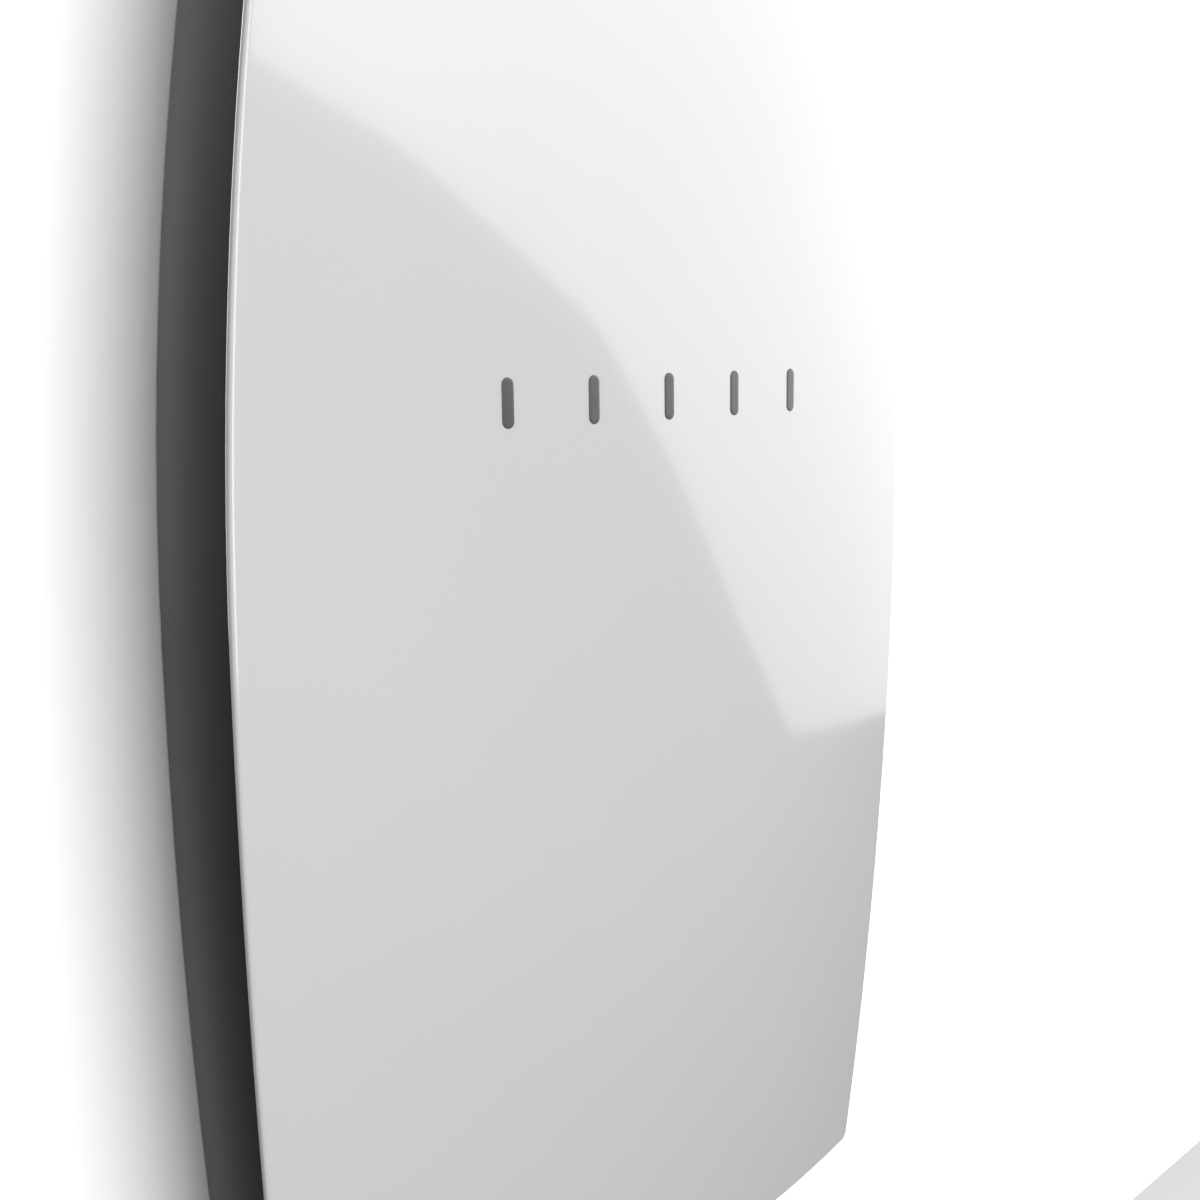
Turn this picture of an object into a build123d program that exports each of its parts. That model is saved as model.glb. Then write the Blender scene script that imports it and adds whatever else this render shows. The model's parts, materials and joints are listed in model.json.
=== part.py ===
from build123d import *
from math import atan2, cos, degrees, radians, sin, sqrt
import os

# Wall battery unit: a shield-shaped cover on a slim casing that hangs on a wall bracket.
# Millimetres. Origin on the wall at the centre of the bracket's bolt pattern, +Z up,
# +X to the right seen from the room, +Y into the wall. "Depth" is the distance out from the wall.

# ---- overall sizes
overall_height = 1302.0
overall_width = 862.0
overall_depth = 183.0
top_taper = 54.0
bottom_taper = 35.0
widest_height = 60.0
crown_across = 45.0
crown_along = 20.0
cover_corner = 9.0
pillow_margin = 60.0
pillow_behind = 120.0

# ---- cover
cover_skin = 4.0
cover_rim_depth = 7.0
cover_rim_width = 5.0
rib_depth = 4.0
rib_width = 2.5
rib_inset = 30.0
rib_columns = 5
rib_column_pitch = 140.0
rib_rows = 6
rib_row_pitch = 200.0
mark_height = 42.0
mark_width = 12.0
mark_pitch = 93.5
mark_count = 5
mark_lift = 0.8
mark_centre_height = 260.0
shadow_gap = 9.0

# ---- casing
casing_inset = 16.0
casing_corner = 10.0
casing_wall = 2.5
wall_gap = 1.5
back_depth = 16.0
flange_depth = 83.0
flange_thickness = 3.0
flange_width = 23.5
seal_thickness = 2.0
lid_thickness = 3.0
lid_wall_clearance = 1.0
lid_dome_inset = 42.0
lid_screw_inset = 30.0
lid_screw_radius = 2.0
lid_screw_head_radius = 4.0
lid_screw_head_height = 2.6
lid_screw_reach = 11.0
lid_screw_socket = 2.0
screw_clearance = 0.3
side_screw_pitch = 190.0
end_screw_pitch = 170.0
louvre_count = 9
louvre_pitch = 12.0
louvre_width = 4.0
louvre_length = 46.0
louvre_depth = 30.0
louvre_base_height = -560.0
inlet_count = 9
inlet_pitch = 24.0
cut_overrun = 1.0

# ---- cover fixing
clip_columns = 310.0
clip_heights = (-520.0, -180.0, 160.0, 480.0)
clip_radius = 6.5
clip_length = 6.0
ball_radius = 4.0
neck_length = 2.5
ball_clearance = 0.1
neck_radius = 2.2
stud_base_radius = 6.0
stud_base_height = 1.5
boss_radius = 8.5
boss_lift = 3.0
boss_reach = 30.0

# ---- wall bracket
steel = 3.0
bolt_spacing_across = 406.4
bolt_spacing_up = 560.0
bolt_slot_length = 30.0
bolt_slot_radius = 5.0
rail_length = 560.0
rail_below_bolt = 42.0
rail_above_bolt = 20.0
strap_offset = 120.0
strap_width = 60.0
lip_depth = 10.0
lip_below_bolt = 13.0
hanger_length = 520.0
hanger_depth = 5.0
hanger_clearance = 1.0
hanger_drop = 24.0
hanger_flange = 30.0
hanger_steel = 2.5
hanger_screw_pitch = 110.0
hanger_screw_count = 5
hanger_screw_head = 3.0
bumper_radius = 14.0
bumper_clearance = 0.5
bumper_round = 2.0

# ---- battery modules
module_width = 690.0
module_height = 340.0
module_gap = 10.0
modules_centre_height = 50.0
module_foot = 3.5
tray_wall = 2.5
tray_wall_height = 34.0
tray_corner = 4.5
foot_radius = 12.0
cold_plate_thickness = 8.0
cold_plate_clearance = 0.5
stub_offset = 60.0
stub_radius = 3.0
cell_length = 160.0
cell_thickness = 27.0
cell_height = 72.0
cell_gap = 2.0
cell_column_gap = 6.0
cell_columns = 4
cell_rows = 11
terminal_offset = 60.0
terminal_radius = 7.0
terminal_height = 3.0
bus_thickness = 2.0
bus_width = 20.0
module_cover_skin = 2.5
module_cover_clearance = 0.5
module_cover_room = 6.0
module_cover_round = 2.0
ear_size = 26.0
ear_lap = 1.0
stud_radius = 3.0
stud_clearance = 0.3
stud_past_nut = 3.0
thread_clearance = 0.05
nut_radius = 5.8
nut_height = 5.0
sense_board_size = (220.0, 50.0)
sense_chip_pitch = 40.0
sense_chip_size = 14.0
sense_plug_size = (10.0, 30.0)
sense_plug_inset = 12.0
sense_part_height = 3.0

# ---- power electronics
board_thickness = 1.6
converter_centre = (-170.0, 510.0)
converter_size = (290.0, 170.0)
converter_base = 6.0
fin_height = 8.0
fin_thickness = 3.0
fin_pitch = 14.0
sink_corner = 5.0
sink_post_radius = 5.0
sink_post_inset = 12.0
board_post_height = 6.0
board_margin = 3.0
board_corner = 3.0
transistor_size = (16.0, 20.0)
transistor_spread = (30.0, 100.0)
transistors_across = 7
transistor_gap = 0.5
inductor_offset = -70.0
inductor_pitch = 60.0
inductor_radius = 26.0
inductor_bore = 10.0
inductor_height = 22.0
inductor_round = 5.0
capacitor_offset = 78.0
capacitor_pitch = 29.0
capacitor_radius = 12.0
capacitor_height = 38.0
capacitor_round = 1.5
manager_centre = (75.0, 510.0)
manager_size = (150.0, 160.0)
manager_post_height = 20.0
manager_post_radius = 4.0
manager_post_inset = 8.0
processor_size = 24.0
processor_offset = (-20.0, 20.0)
driver_size = (16.0, 12.0)
driver_offset = (30.0, 30.0)
relay_size = (10.0, 14.0)
relay_pitch = 22.0
relay_drop = 40.0
manager_chip_height = 2.0
plug_size = (34.0, 12.0)
plug_pitch = 44.0
plug_height = 11.0
plug_inset = 10.0
side_plug_size = (12.0, 40.0)
contactor_size = (62.0, 56.0, 66.0)
contactor_centre = (245.0, 540.0)
contactor_pitch = 76.0
contactor_corner = 5.0
contactor_post_pitch = 30.0
contactor_post_radius = 6.0
contactor_post_height = 4.0
link_width = 16.0
link_length = 68.0
link_drop = 26.0
link_corner = 3.0
fuse_centre = (245.0, 450.0)
fuse_radius = 13.0
fuse_length = 80.0
fuse_stand = 40.0
fuse_foot = (12.0, 30.0)
fuse_foot_inset = 8.0
edge_round = 2.0
sensor_radius = 18.0
sensor_thickness = 12.0
sensor_window = (18.0, 6.0)
sensor_drop = 50.0

# ---- wiring corner
terminal_block_centre = (255.0, -400.0)
terminal_block_size = (160.0, 44.0, 34.0)
terminal_count = 5
terminal_floor = 10.0
terminal_divider = 6.0
terminal_rim = 5.0
clamp_clearance = 1.0
clamp_height = 8.0
clamp_screw_radius = 6.0
clamp_screw_slot = (8.0, 1.6)
clamp_screw_height = 5.0
gland_columns = (200.0, 255.0, 310.0)
gland_depth = 50.0
gland_bore = 7.0
gland_thread_radius = 10.0
gland_hex_radius = 15.0
gland_hex_height = 6.0
gland_cap_radius = 12.5
gland_cap_height = 7.0
gland_thread_length = 14.0
gland_nut_height = 5.0
gland_round = 2.0
vent_column = 60.0
vent_radius = 9.0
vent_height = 5.0
vent_round = 1.5
vent_stem = 8.0
earth_column = 130.0
earth_radius = 4.0
earth_nut_radius = 7.2
earth_nut_height = 5.0
earth_stud_end = 12.0

# ---- thermal loop
radiator_centre = (-215.0, -478.0)
radiator_size = (240.0, 200.0)
radiator_thickness = 26.0
radiator_tank = 16.0
radiator_tank_corner = 4.0
radiator_tubes = 8
radiator_tube_width = 5.0
fin_sheet = 1.0
fin_sheet_pitch = 6.0
fan_size = 180.0
fan_corner = 8.0
fan_thickness = 34.0
fan_arm_width = 6.0
fan_arm_thickness = 3.0
fan_hole_inset = 8.0
fan_hole_radius = 2.4
fan_motor_height = 10.0
fan_motor_seat = 4.0
fan_end_clearance = 3.0
blade_pitch = 32.0
blade_thickness = 2.0
blade_depth = 18.0
blade_root = 3.0
fan_tip_radius = 80.0
fan_tip_clearance = 3.0
fan_hub_radius = 28.0
fan_blades = 7
fan_shaft_radius = 3.0
fan_motor_radius = 22.0
running_clearance = 0.05
pump_centre = (20.0, -470.0)
pump_motor_radius = 34.0
pump_motor_height = 40.0
pump_chamber_radius = 28.0
pump_chamber_height = 14.0
pump_wall = 4.0
pump_round = 2.0
pump_port_reach = 52.0
pump_port_lift = 1.0
pump_spigot_length = 10.0
shaft_end_gap = 2.0
impeller_radius = 25.0
impeller_vanes = 6
impeller_gap = 1.0
impeller_disc = 2.0
impeller_hub_wall = 3.0
vane_thickness = 2.0
vane_height = 9.0
vane_sweep = 24.0
pipe_radius = 8.0
pipe_wall = 1.2
manifold_radius = 5.0
manifold_overhang = 16.0
tee_size = 14.0
tee_gap = 1.0
tee_thickness = 12.0
tee_corner = 2.0
pipe_bend = 15.0
hot_pipe_drop = 40.0
suction_loop = 24.0
crossing_drop = 34.0
crossing_rise = 30.0
reservoir_centre = (120.0, -470.0)
reservoir_size = (70.0, 130.0, 54.0)
reservoir_corner = 12.0
reservoir_round = 5.0
filler_radius = 12.0
filler_height = 8.0
cap_radius = 15.0
cap_grips = 18
cap_grip_radius = 1.5
cap_height = 10.0

# ---- side controls
panel_centre_height = widest_height
panel_height = 120.0
panel_depth_low = 36.0
panel_depth_high = 78.0
panel_flange = 3.0
panel_flange_lap = 5.0
panel_body = 25.0
panel_wall_clearance = 0.2
panel_body_clearance = 0.3
panel_corner = 6.0
panel_round = 1.5
pocket_depth = 14.0
lever_offset = 25.0
lever_gap = 0.3
lever_hub_radius = 15.0
lever_shaft_radius = 4.0
lever_length = 32.0
lever_width = 12.0
lever_thickness = 6.0
lever_shaft_end = 2.0
rocker_offset = -25.0
rocker_length = 30.0
rocker_width = 16.0
rocker_tilt = 8.0
rocker_clearance = 0.6
rocker_pin_radius = 2.0
rocker_proud = 1.5
rocker_dip = 1.0
rocker_end_gap = 1.0
lens_offset = -50.0
lens_radius = 4.0
lens_seat = 3.0
lens_proud = 0.8
lens_round = 0.7

# ---- values that follow
half_height = overall_height / 2
half_width = overall_width / 2
top_width = overall_width - 2 * top_taper
bottom_width = overall_width - 2 * bottom_taper
across_radius = (half_width**2 + crown_across**2) / (2 * crown_across)
along_radius = (half_height**2 + crown_along**2) / (2 * crown_along)
lid_face_inset = cover_rim_depth + shadow_gap + lid_thickness
back_face = back_depth + casing_wall
seal_depth = flange_depth + flange_thickness
lid_depth = seal_depth + seal_thickness
lid_front = lid_depth + lid_thickness
lid_seat_inset = casing_inset + casing_wall + lid_wall_clearance
panel_face = half_width - casing_inset + panel_wall_clearance
panel_front = panel_face + panel_flange
panel_mid_depth = (panel_depth_low + panel_depth_high) / 2


def out_from_wall(depth):
    """A plane parallel to the wall, standing that far out, seen from the room."""
    return Plane.XZ.offset(depth)


def half_width_at(height, inset=0.0):
    """Half the width of the shield outline at a height."""
    end_height = half_height - inset
    end_width = (top_width if height > widest_height else bottom_width) / 2 - inset
    side = half_width - inset
    rise = end_height - widest_height if height > widest_height else end_height + widest_height
    radius = (rise**2 + (side - end_width) ** 2) / (2 * (side - end_width))
    return side - radius + sqrt(radius**2 - (height - widest_height) ** 2)


def skin_depth(x, z):
    """How far the cover's front stands from the wall at a point."""
    across = across_radius - sqrt(across_radius**2 - x**2)
    from_axis = along_radius - across
    return overall_depth - along_radius + sqrt(from_axis**2 - (z - widest_height) ** 2)


def shield(inset, corner):
    """The outline of the unit: bowed sides, straight ends, drawn in by an inset."""
    side = half_width - inset
    top = half_height - inset
    top_half = top_width / 2 - inset
    bottom_half = bottom_width / 2 - inset
    with BuildSketch() as outline:
        with BuildLine():
            TangentArc((side, widest_height), (top_half, top), tangent=(0, 1))
            Line((top_half, top), (-top_half, top))
            TangentArc((-side, widest_height), (-top_half, top), tangent=(0, 1))
            TangentArc((-side, widest_height), (-bottom_half, -top), tangent=(0, -1))
            Line((-bottom_half, -top), (bottom_half, -top))
            TangentArc((side, widest_height), (bottom_half, -top), tangent=(0, -1))
        make_face()
        ends = outline.vertices().group_by(Axis.Y)
        fillet(ends[0] + ends[-1], corner)
    return outline.sketch


def pillow(inset):
    """Everything behind the cover's curved front, drawn in by an inset: a slice of a torus."""
    reach = half_width + pillow_margin
    radius = across_radius - inset
    front = -overall_depth + inset
    sag = radius - sqrt(radius**2 - reach**2)
    axis_y = along_radius - overall_depth
    swing = degrees(atan2(half_height + widest_height + pillow_margin, along_radius))
    with BuildPart() as body:
        with BuildSketch(Plane.XY.offset(widest_height)):
            with BuildLine():
                ThreePointArc((-reach, front + sag), (0, front), (reach, front + sag))
                Polyline(
                    (reach, front + sag),
                    (reach, pillow_behind),
                    (-reach, pillow_behind),
                    (-reach, front + sag),
                )
            make_face()
        revolve(axis=Axis((0, axis_y, widest_height), (1, 0, 0)), revolution_arc=2 * swing)
    turned = body.part.rotate(Axis((0, axis_y, widest_height), (1, 0, 0)), -swing)
    return turned


def save(part, name):
    part.label = name
    export_step(part, f"parts/{name}.step")


os.makedirs("parts", exist_ok=True)

cover_outline = shield(0, cover_corner)
casing_outline = shield(casing_inset, casing_corner)
casing_inner = shield(casing_inset + casing_wall, casing_corner - casing_wall)
seat_outline = shield(lid_seat_inset, casing_corner - casing_wall)
flange_inner = shield(casing_inset + casing_wall + flange_width, casing_corner)
dome_outline = shield(lid_dome_inset, casing_corner)
dome_inner = shield(lid_dome_inset + lid_thickness, casing_corner)
clip_points = [(side * clip_columns, height) for side in (-1, 1) for height in clip_heights]

side_rows = int((overall_height - 2 * lid_screw_inset) // side_screw_pitch)
side_heights = [(row - (side_rows - 1) / 2) * side_screw_pitch for row in range(side_rows)]
end_columns = int((top_width - 2 * lid_screw_inset) // end_screw_pitch)
end_places = [(column - (end_columns - 1) / 2) * end_screw_pitch for column in range(end_columns)]
lid_screw_points = [
    (side * half_width_at(height) - side * lid_screw_inset, height)
    for side in (-1, 1)
    for height in side_heights
] + [(x, end * (half_height - lid_screw_inset)) for end in (-1, 1) for x in end_places]

# ============ wall bracket ============
rail_bottoms = [centre - rail_below_bolt for centre in (-bolt_spacing_up / 2, bolt_spacing_up / 2)]
lip_top = -lip_below_bolt
with BuildPart() as wall_bracket:
    with BuildSketch(out_from_wall(0)):
        with GridLocations(1, bolt_spacing_up, 1, 2):
            with Locations((0, (rail_above_bolt - rail_below_bolt) / 2)):
                Rectangle(rail_length, rail_above_bolt + rail_below_bolt)
        with GridLocations(2 * strap_offset, 1, 2, 1):
            Rectangle(strap_width, bolt_spacing_up)
    extrude(amount=steel)
    with BuildSketch(out_from_wall(0)):
        with GridLocations(1, bolt_spacing_up, 1, 2):
            with Locations((0, steel / 2 - rail_below_bolt)):
                Rectangle(rail_length, steel)
    extrude(amount=lip_depth + steel)
    with BuildSketch(out_from_wall(lip_depth)):
        with GridLocations(1, bolt_spacing_up, 1, 2):
            with Locations((0, (lip_top - rail_below_bolt) / 2)):
                Rectangle(rail_length, lip_top + rail_below_bolt)
    extrude(amount=steel)
    with BuildSketch(out_from_wall(0)):
        with GridLocations(bolt_spacing_across, bolt_spacing_up, 2, 2):
            SlotOverall(bolt_slot_length, 2 * bolt_slot_radius)
    extrude(amount=steel, mode=Mode.SUBTRACT)
    long_edges = wall_bracket.edges().filter_by(Axis.X).filter_by(lambda edge: edge.length > rail_length - 1)
    fillet(long_edges.group_by(Axis.Y)[0].sort_by(Axis.Z)[0], steel / 3)
save(wall_bracket.part, "wall_bracket")

bumper_height = back_depth - steel - bumper_clearance
with BuildPart() as bracket_bumpers:
    with BuildSketch(out_from_wall(steel)):
        with GridLocations(2 * strap_offset, bolt_spacing_up / 2, 2, 2):
            Circle(bumper_radius)
    extrude(amount=bumper_height)
    fillet(bracket_bumpers.faces().group_by(Axis.Y)[0].edges(), bumper_round)
save(bracket_bumpers.part, "bracket_bumpers")

# ============ casing ============
cover_region = pillow(0)
gap_region = pillow(cover_rim_depth + shadow_gap)
module_centres = [
    (0, modules_centre_height + side * (module_height + module_gap) / 2) for side in (1, -1)
]
ear_column = module_width / 2 + ear_size / 2 - ear_lap
ear_row = module_height / 2 - ear_size / 2
module_studs = [
    (centre[0] + side * ear_column, centre[1] + end * ear_row)
    for centre in module_centres
    for side in (-1, 1)
    for end in (-1, 1)
]
gland_points = [(x, gland_depth) for x in gland_columns]
bottom_face = -(half_height - casing_inset)
inlet_columns = [
    radiator_centre[0] + (slot - (inlet_count - 1) / 2) * inlet_pitch for slot in range(inlet_count)
]
louvre_middle = louvre_base_height + louvre_count * louvre_pitch / 2
hanger_top = lip_top + hanger_steel
with BuildPart() as rear_casing:
    with BuildSketch(out_from_wall(wall_gap)):
        add(casing_outline)
        add(casing_inner, mode=Mode.SUBTRACT)
    extrude(amount=overall_depth)
    add(gap_region, mode=Mode.INTERSECT)
    with BuildSketch(out_from_wall(back_depth)):
        add(casing_outline)
    extrude(amount=casing_wall)
    with BuildSketch(out_from_wall(flange_depth)):
        add(casing_outline)
        add(flange_inner, mode=Mode.SUBTRACT)
    extrude(amount=flange_thickness)
    with BuildSketch(out_from_wall(flange_depth)):
        with Locations(*lid_screw_points):
            Circle(lid_screw_radius + screw_clearance)
    extrude(amount=flange_thickness, mode=Mode.SUBTRACT)
    with BuildSketch(out_from_wall(back_face)):
        with Locations(*module_studs):
            Circle(stud_radius)
    extrude(amount=module_foot + tray_wall + nut_height + stud_past_nut)
    with BuildSketch(Plane.XY.offset(bottom_face - cut_overrun)):
        with Locations(*[(x, -depth) for x, depth in gland_points]):
            Circle(gland_thread_radius + screw_clearance)
        with Locations((vent_column, -gland_depth)):
            Circle(vent_radius / 2 + screw_clearance)
        with Locations((earth_column, -gland_depth)):
            Circle(earth_radius + screw_clearance)
        with Locations(*[(x, -gland_depth) for x in inlet_columns]):
            SlotOverall(louvre_length, louvre_width, rotation=90)
    extrude(amount=casing_wall + 2 * cut_overrun, mode=Mode.SUBTRACT)
    with BuildSketch(Plane.YZ.offset(-half_width)):
        with Locations((-louvre_depth - louvre_length / 2, louvre_middle)):
            with GridLocations(1, louvre_pitch, 1, louvre_count):
                SlotOverall(louvre_length, louvre_width)
    extrude(amount=2 * half_width, mode=Mode.SUBTRACT)
    with BuildSketch(Plane.YZ.offset(half_width - 2 * casing_inset)):
        with Locations((-panel_mid_depth, panel_centre_height)):
            Rectangle(panel_depth_high - panel_depth_low, panel_height)
    extrude(amount=2 * casing_inset, mode=Mode.SUBTRACT)
    with BuildSketch(out_from_wall(back_depth)):
        with GridLocations(1, bolt_spacing_up, 1, 2):
            with Locations((0, hanger_top + hanger_flange / 2)):
                with GridLocations(hanger_screw_pitch, 1, hanger_screw_count, 1):
                    Circle(stud_radius + stud_clearance)
    extrude(amount=casing_wall, mode=Mode.SUBTRACT)
save(rear_casing.part, "rear_casing")

with BuildPart() as hanger_rails:
    with BuildSketch(out_from_wall(back_depth - hanger_steel)):
        with GridLocations(1, bolt_spacing_up, 1, 2):
            with Locations((0, hanger_top - hanger_steel + (hanger_flange + hanger_steel) / 2)):
                Rectangle(hanger_length, hanger_flange + hanger_steel)
    extrude(amount=hanger_steel)
    with BuildSketch(out_from_wall(hanger_depth)):
        with GridLocations(1, bolt_spacing_up, 1, 2):
            with Locations((0, hanger_top - hanger_steel / 2)):
                Rectangle(hanger_length, hanger_steel)
    extrude(amount=back_depth - hanger_depth)
    with BuildSketch(out_from_wall(hanger_depth)):
        with GridLocations(1, bolt_spacing_up, 1, 2):
            with Locations((0, hanger_top - hanger_drop / 2)):
                Rectangle(hanger_length, hanger_drop)
    extrude(amount=hanger_steel)
    with BuildSketch(out_from_wall(hanger_depth)):
        with GridLocations(1, bolt_spacing_up, 1, 2):
            with Locations((0, hanger_top + hanger_flange / 2)):
                with GridLocations(hanger_screw_pitch, 1, hanger_screw_count, 1):
                    Circle(stud_radius + stud_clearance)
    extrude(amount=back_depth, mode=Mode.SUBTRACT)
save(hanger_rails.part, "hanger_rails")

with BuildPart() as hanger_screws:
    with BuildSketch(out_from_wall(back_depth - hanger_steel - hanger_screw_head)):
        with GridLocations(1, bolt_spacing_up, 1, 2):
            with Locations((0, hanger_top + hanger_flange / 2)):
                with GridLocations(hanger_screw_pitch, 1, hanger_screw_count, 1):
                    RegularPolygon(nut_radius, 6)
    extrude(amount=hanger_screw_head)
    with BuildSketch(out_from_wall(back_depth - hanger_steel)):
        with GridLocations(1, bolt_spacing_up, 1, 2):
            with Locations((0, hanger_top + hanger_flange / 2)):
                with GridLocations(hanger_screw_pitch, 1, hanger_screw_count, 1):
                    Circle(stud_radius)
    extrude(amount=hanger_steel + casing_wall)
save(hanger_screws.part, "hanger_screws")

with BuildPart() as lid_seal:
    with BuildSketch(out_from_wall(seal_depth)):
        add(seat_outline)
        add(flange_inner, mode=Mode.SUBTRACT)
        with Locations(*lid_screw_points):
            Circle(lid_screw_radius + screw_clearance, mode=Mode.SUBTRACT)
    extrude(amount=seal_thickness)
save(lid_seal.part, "lid_seal")

# ============ casing lid ============
lid_region = pillow(lid_face_inset)
lid_under = pillow(lid_face_inset + lid_thickness)
stud_seats = [(x, z, skin_depth(x, z) - lid_face_inset + boss_lift) for x, z in clip_points]
with BuildPart() as lid_hollow:
    with BuildSketch(out_from_wall(lid_depth)):
        add(dome_inner)
    extrude(amount=overall_depth)
    add(lid_under, mode=Mode.INTERSECT)

with BuildPart() as casing_lid:
    with BuildSketch(out_from_wall(lid_depth)):
        add(dome_outline)
    extrude(amount=overall_depth)
    add(lid_region, mode=Mode.INTERSECT)
    for x, z, seat in stud_seats:
        with BuildSketch(out_from_wall(lid_front)):
            with Locations((x, z)):
                Circle(boss_radius)
        extrude(amount=seat - lid_front)
    add(lid_hollow.part, mode=Mode.SUBTRACT)
    with BuildSketch(out_from_wall(lid_depth)):
        add(seat_outline)
        add(dome_inner, mode=Mode.SUBTRACT)
    extrude(amount=lid_thickness)
    with BuildSketch(out_from_wall(lid_depth)):
        with Locations(*lid_screw_points):
            Circle(lid_screw_radius + screw_clearance)
    extrude(amount=lid_thickness, mode=Mode.SUBTRACT)
save(casing_lid.part, "casing_lid")

with BuildPart() as lid_screws:
    with BuildSketch(out_from_wall(lid_front - lid_screw_reach)):
        with Locations(*lid_screw_points):
            Circle(lid_screw_radius)
    extrude(amount=lid_screw_reach)
    with BuildSketch(out_from_wall(lid_front)):
        with Locations(*lid_screw_points):
            Circle(lid_screw_head_radius)
            RegularPolygon(lid_screw_socket, 6, mode=Mode.SUBTRACT)
    extrude(amount=lid_screw_head_height)
    with BuildSketch(out_from_wall(lid_front)):
        with Locations(*lid_screw_points):
            Circle(lid_screw_socket + screw_clearance)
    extrude(amount=lid_screw_head_height / 2)
save(lid_screws.part, "lid_screws")

ball_reach = stud_base_height + neck_length
with BuildPart() as cover_studs:
    for x, z, seat in stud_seats:
        with BuildSketch(out_from_wall(seat)):
            with Locations((x, z)):
                RegularPolygon(stud_base_radius, 6)
        extrude(amount=stud_base_height)
        with BuildSketch(out_from_wall(seat)):
            with Locations((x, z)):
                Circle(neck_radius)
        extrude(amount=ball_reach)
        with Locations((x, -seat - ball_reach, z)):
            Sphere(ball_radius)
save(cover_studs.part, "cover_studs")

# ============ front cover ============
cover_under = pillow(cover_skin)
rim_under = pillow(cover_rim_depth)
rib_under = pillow(cover_skin + rib_depth)
mid_skin = pillow(cover_skin / 2)
clip_rise = ball_reach + ball_radius / 2 + clip_length / 2
clip_seats = [(x, z, seat + clip_rise) for x, z, seat in stud_seats]
with BuildPart() as under_skin:
    with BuildSketch(out_from_wall(0)):
        add(shield(cover_rim_width, cover_corner - cover_rim_width))
    extrude(amount=overall_depth)
    add(cover_under, mode=Mode.INTERSECT)

with BuildPart() as cover_ribs:
    with BuildSketch(out_from_wall(wall_gap)):
        with GridLocations(rib_column_pitch, 1, rib_columns, 1):
            Rectangle(rib_width, overall_height - 2 * rib_inset)
        with GridLocations(1, rib_row_pitch, 1, rib_rows):
            Rectangle(top_width - 2 * rib_inset, rib_width)
    extrude(amount=overall_depth)
    add(mid_skin, mode=Mode.INTERSECT)
    add(rib_under, mode=Mode.SUBTRACT)

with BuildPart() as clip_bosses:
    for x, z, seat in clip_seats:
        with BuildSketch(out_from_wall(seat)):
            with Locations((x, z)):
                Circle(boss_radius)
        extrude(amount=boss_reach)
    add(mid_skin, mode=Mode.INTERSECT)

with BuildPart() as front_cover:
    with BuildSketch(out_from_wall(wall_gap)):
        add(cover_outline)
    extrude(amount=overall_depth)
    add(cover_region, mode=Mode.INTERSECT)
    add(under_skin.part, mode=Mode.SUBTRACT)
    add(rim_under, mode=Mode.SUBTRACT)
    add(cover_ribs.part)
    add(clip_bosses.part)
save(front_cover.part, "front_cover")

with BuildPart() as cover_clips:
    for x, z, seat in clip_seats:
        with BuildSketch(out_from_wall(seat - clip_length)):
            with Locations((x, z)):
                Circle(clip_radius)
        extrude(amount=clip_length)
        with BuildSketch(out_from_wall(seat - clip_length)):
            with Locations((x, z)):
                Circle(ball_radius + ball_clearance)
        extrude(amount=clip_length, mode=Mode.SUBTRACT)
save(cover_clips.part, "cover_clips")

mark_places = [(number - (mark_count - 1) / 2) * mark_pitch for number in range(mark_count)]
with BuildPart() as charge_marks:
    with BuildSketch(out_from_wall(wall_gap)):
        with Locations(*[(x, mark_centre_height) for x in mark_places]):
            SlotOverall(mark_height, mark_width, rotation=90)
    extrude(amount=2 * overall_depth)
    add(pillow(-mark_lift), mode=Mode.INTERSECT)
    add(cover_region, mode=Mode.SUBTRACT)
save(charge_marks.part, "charge_marks")

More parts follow.
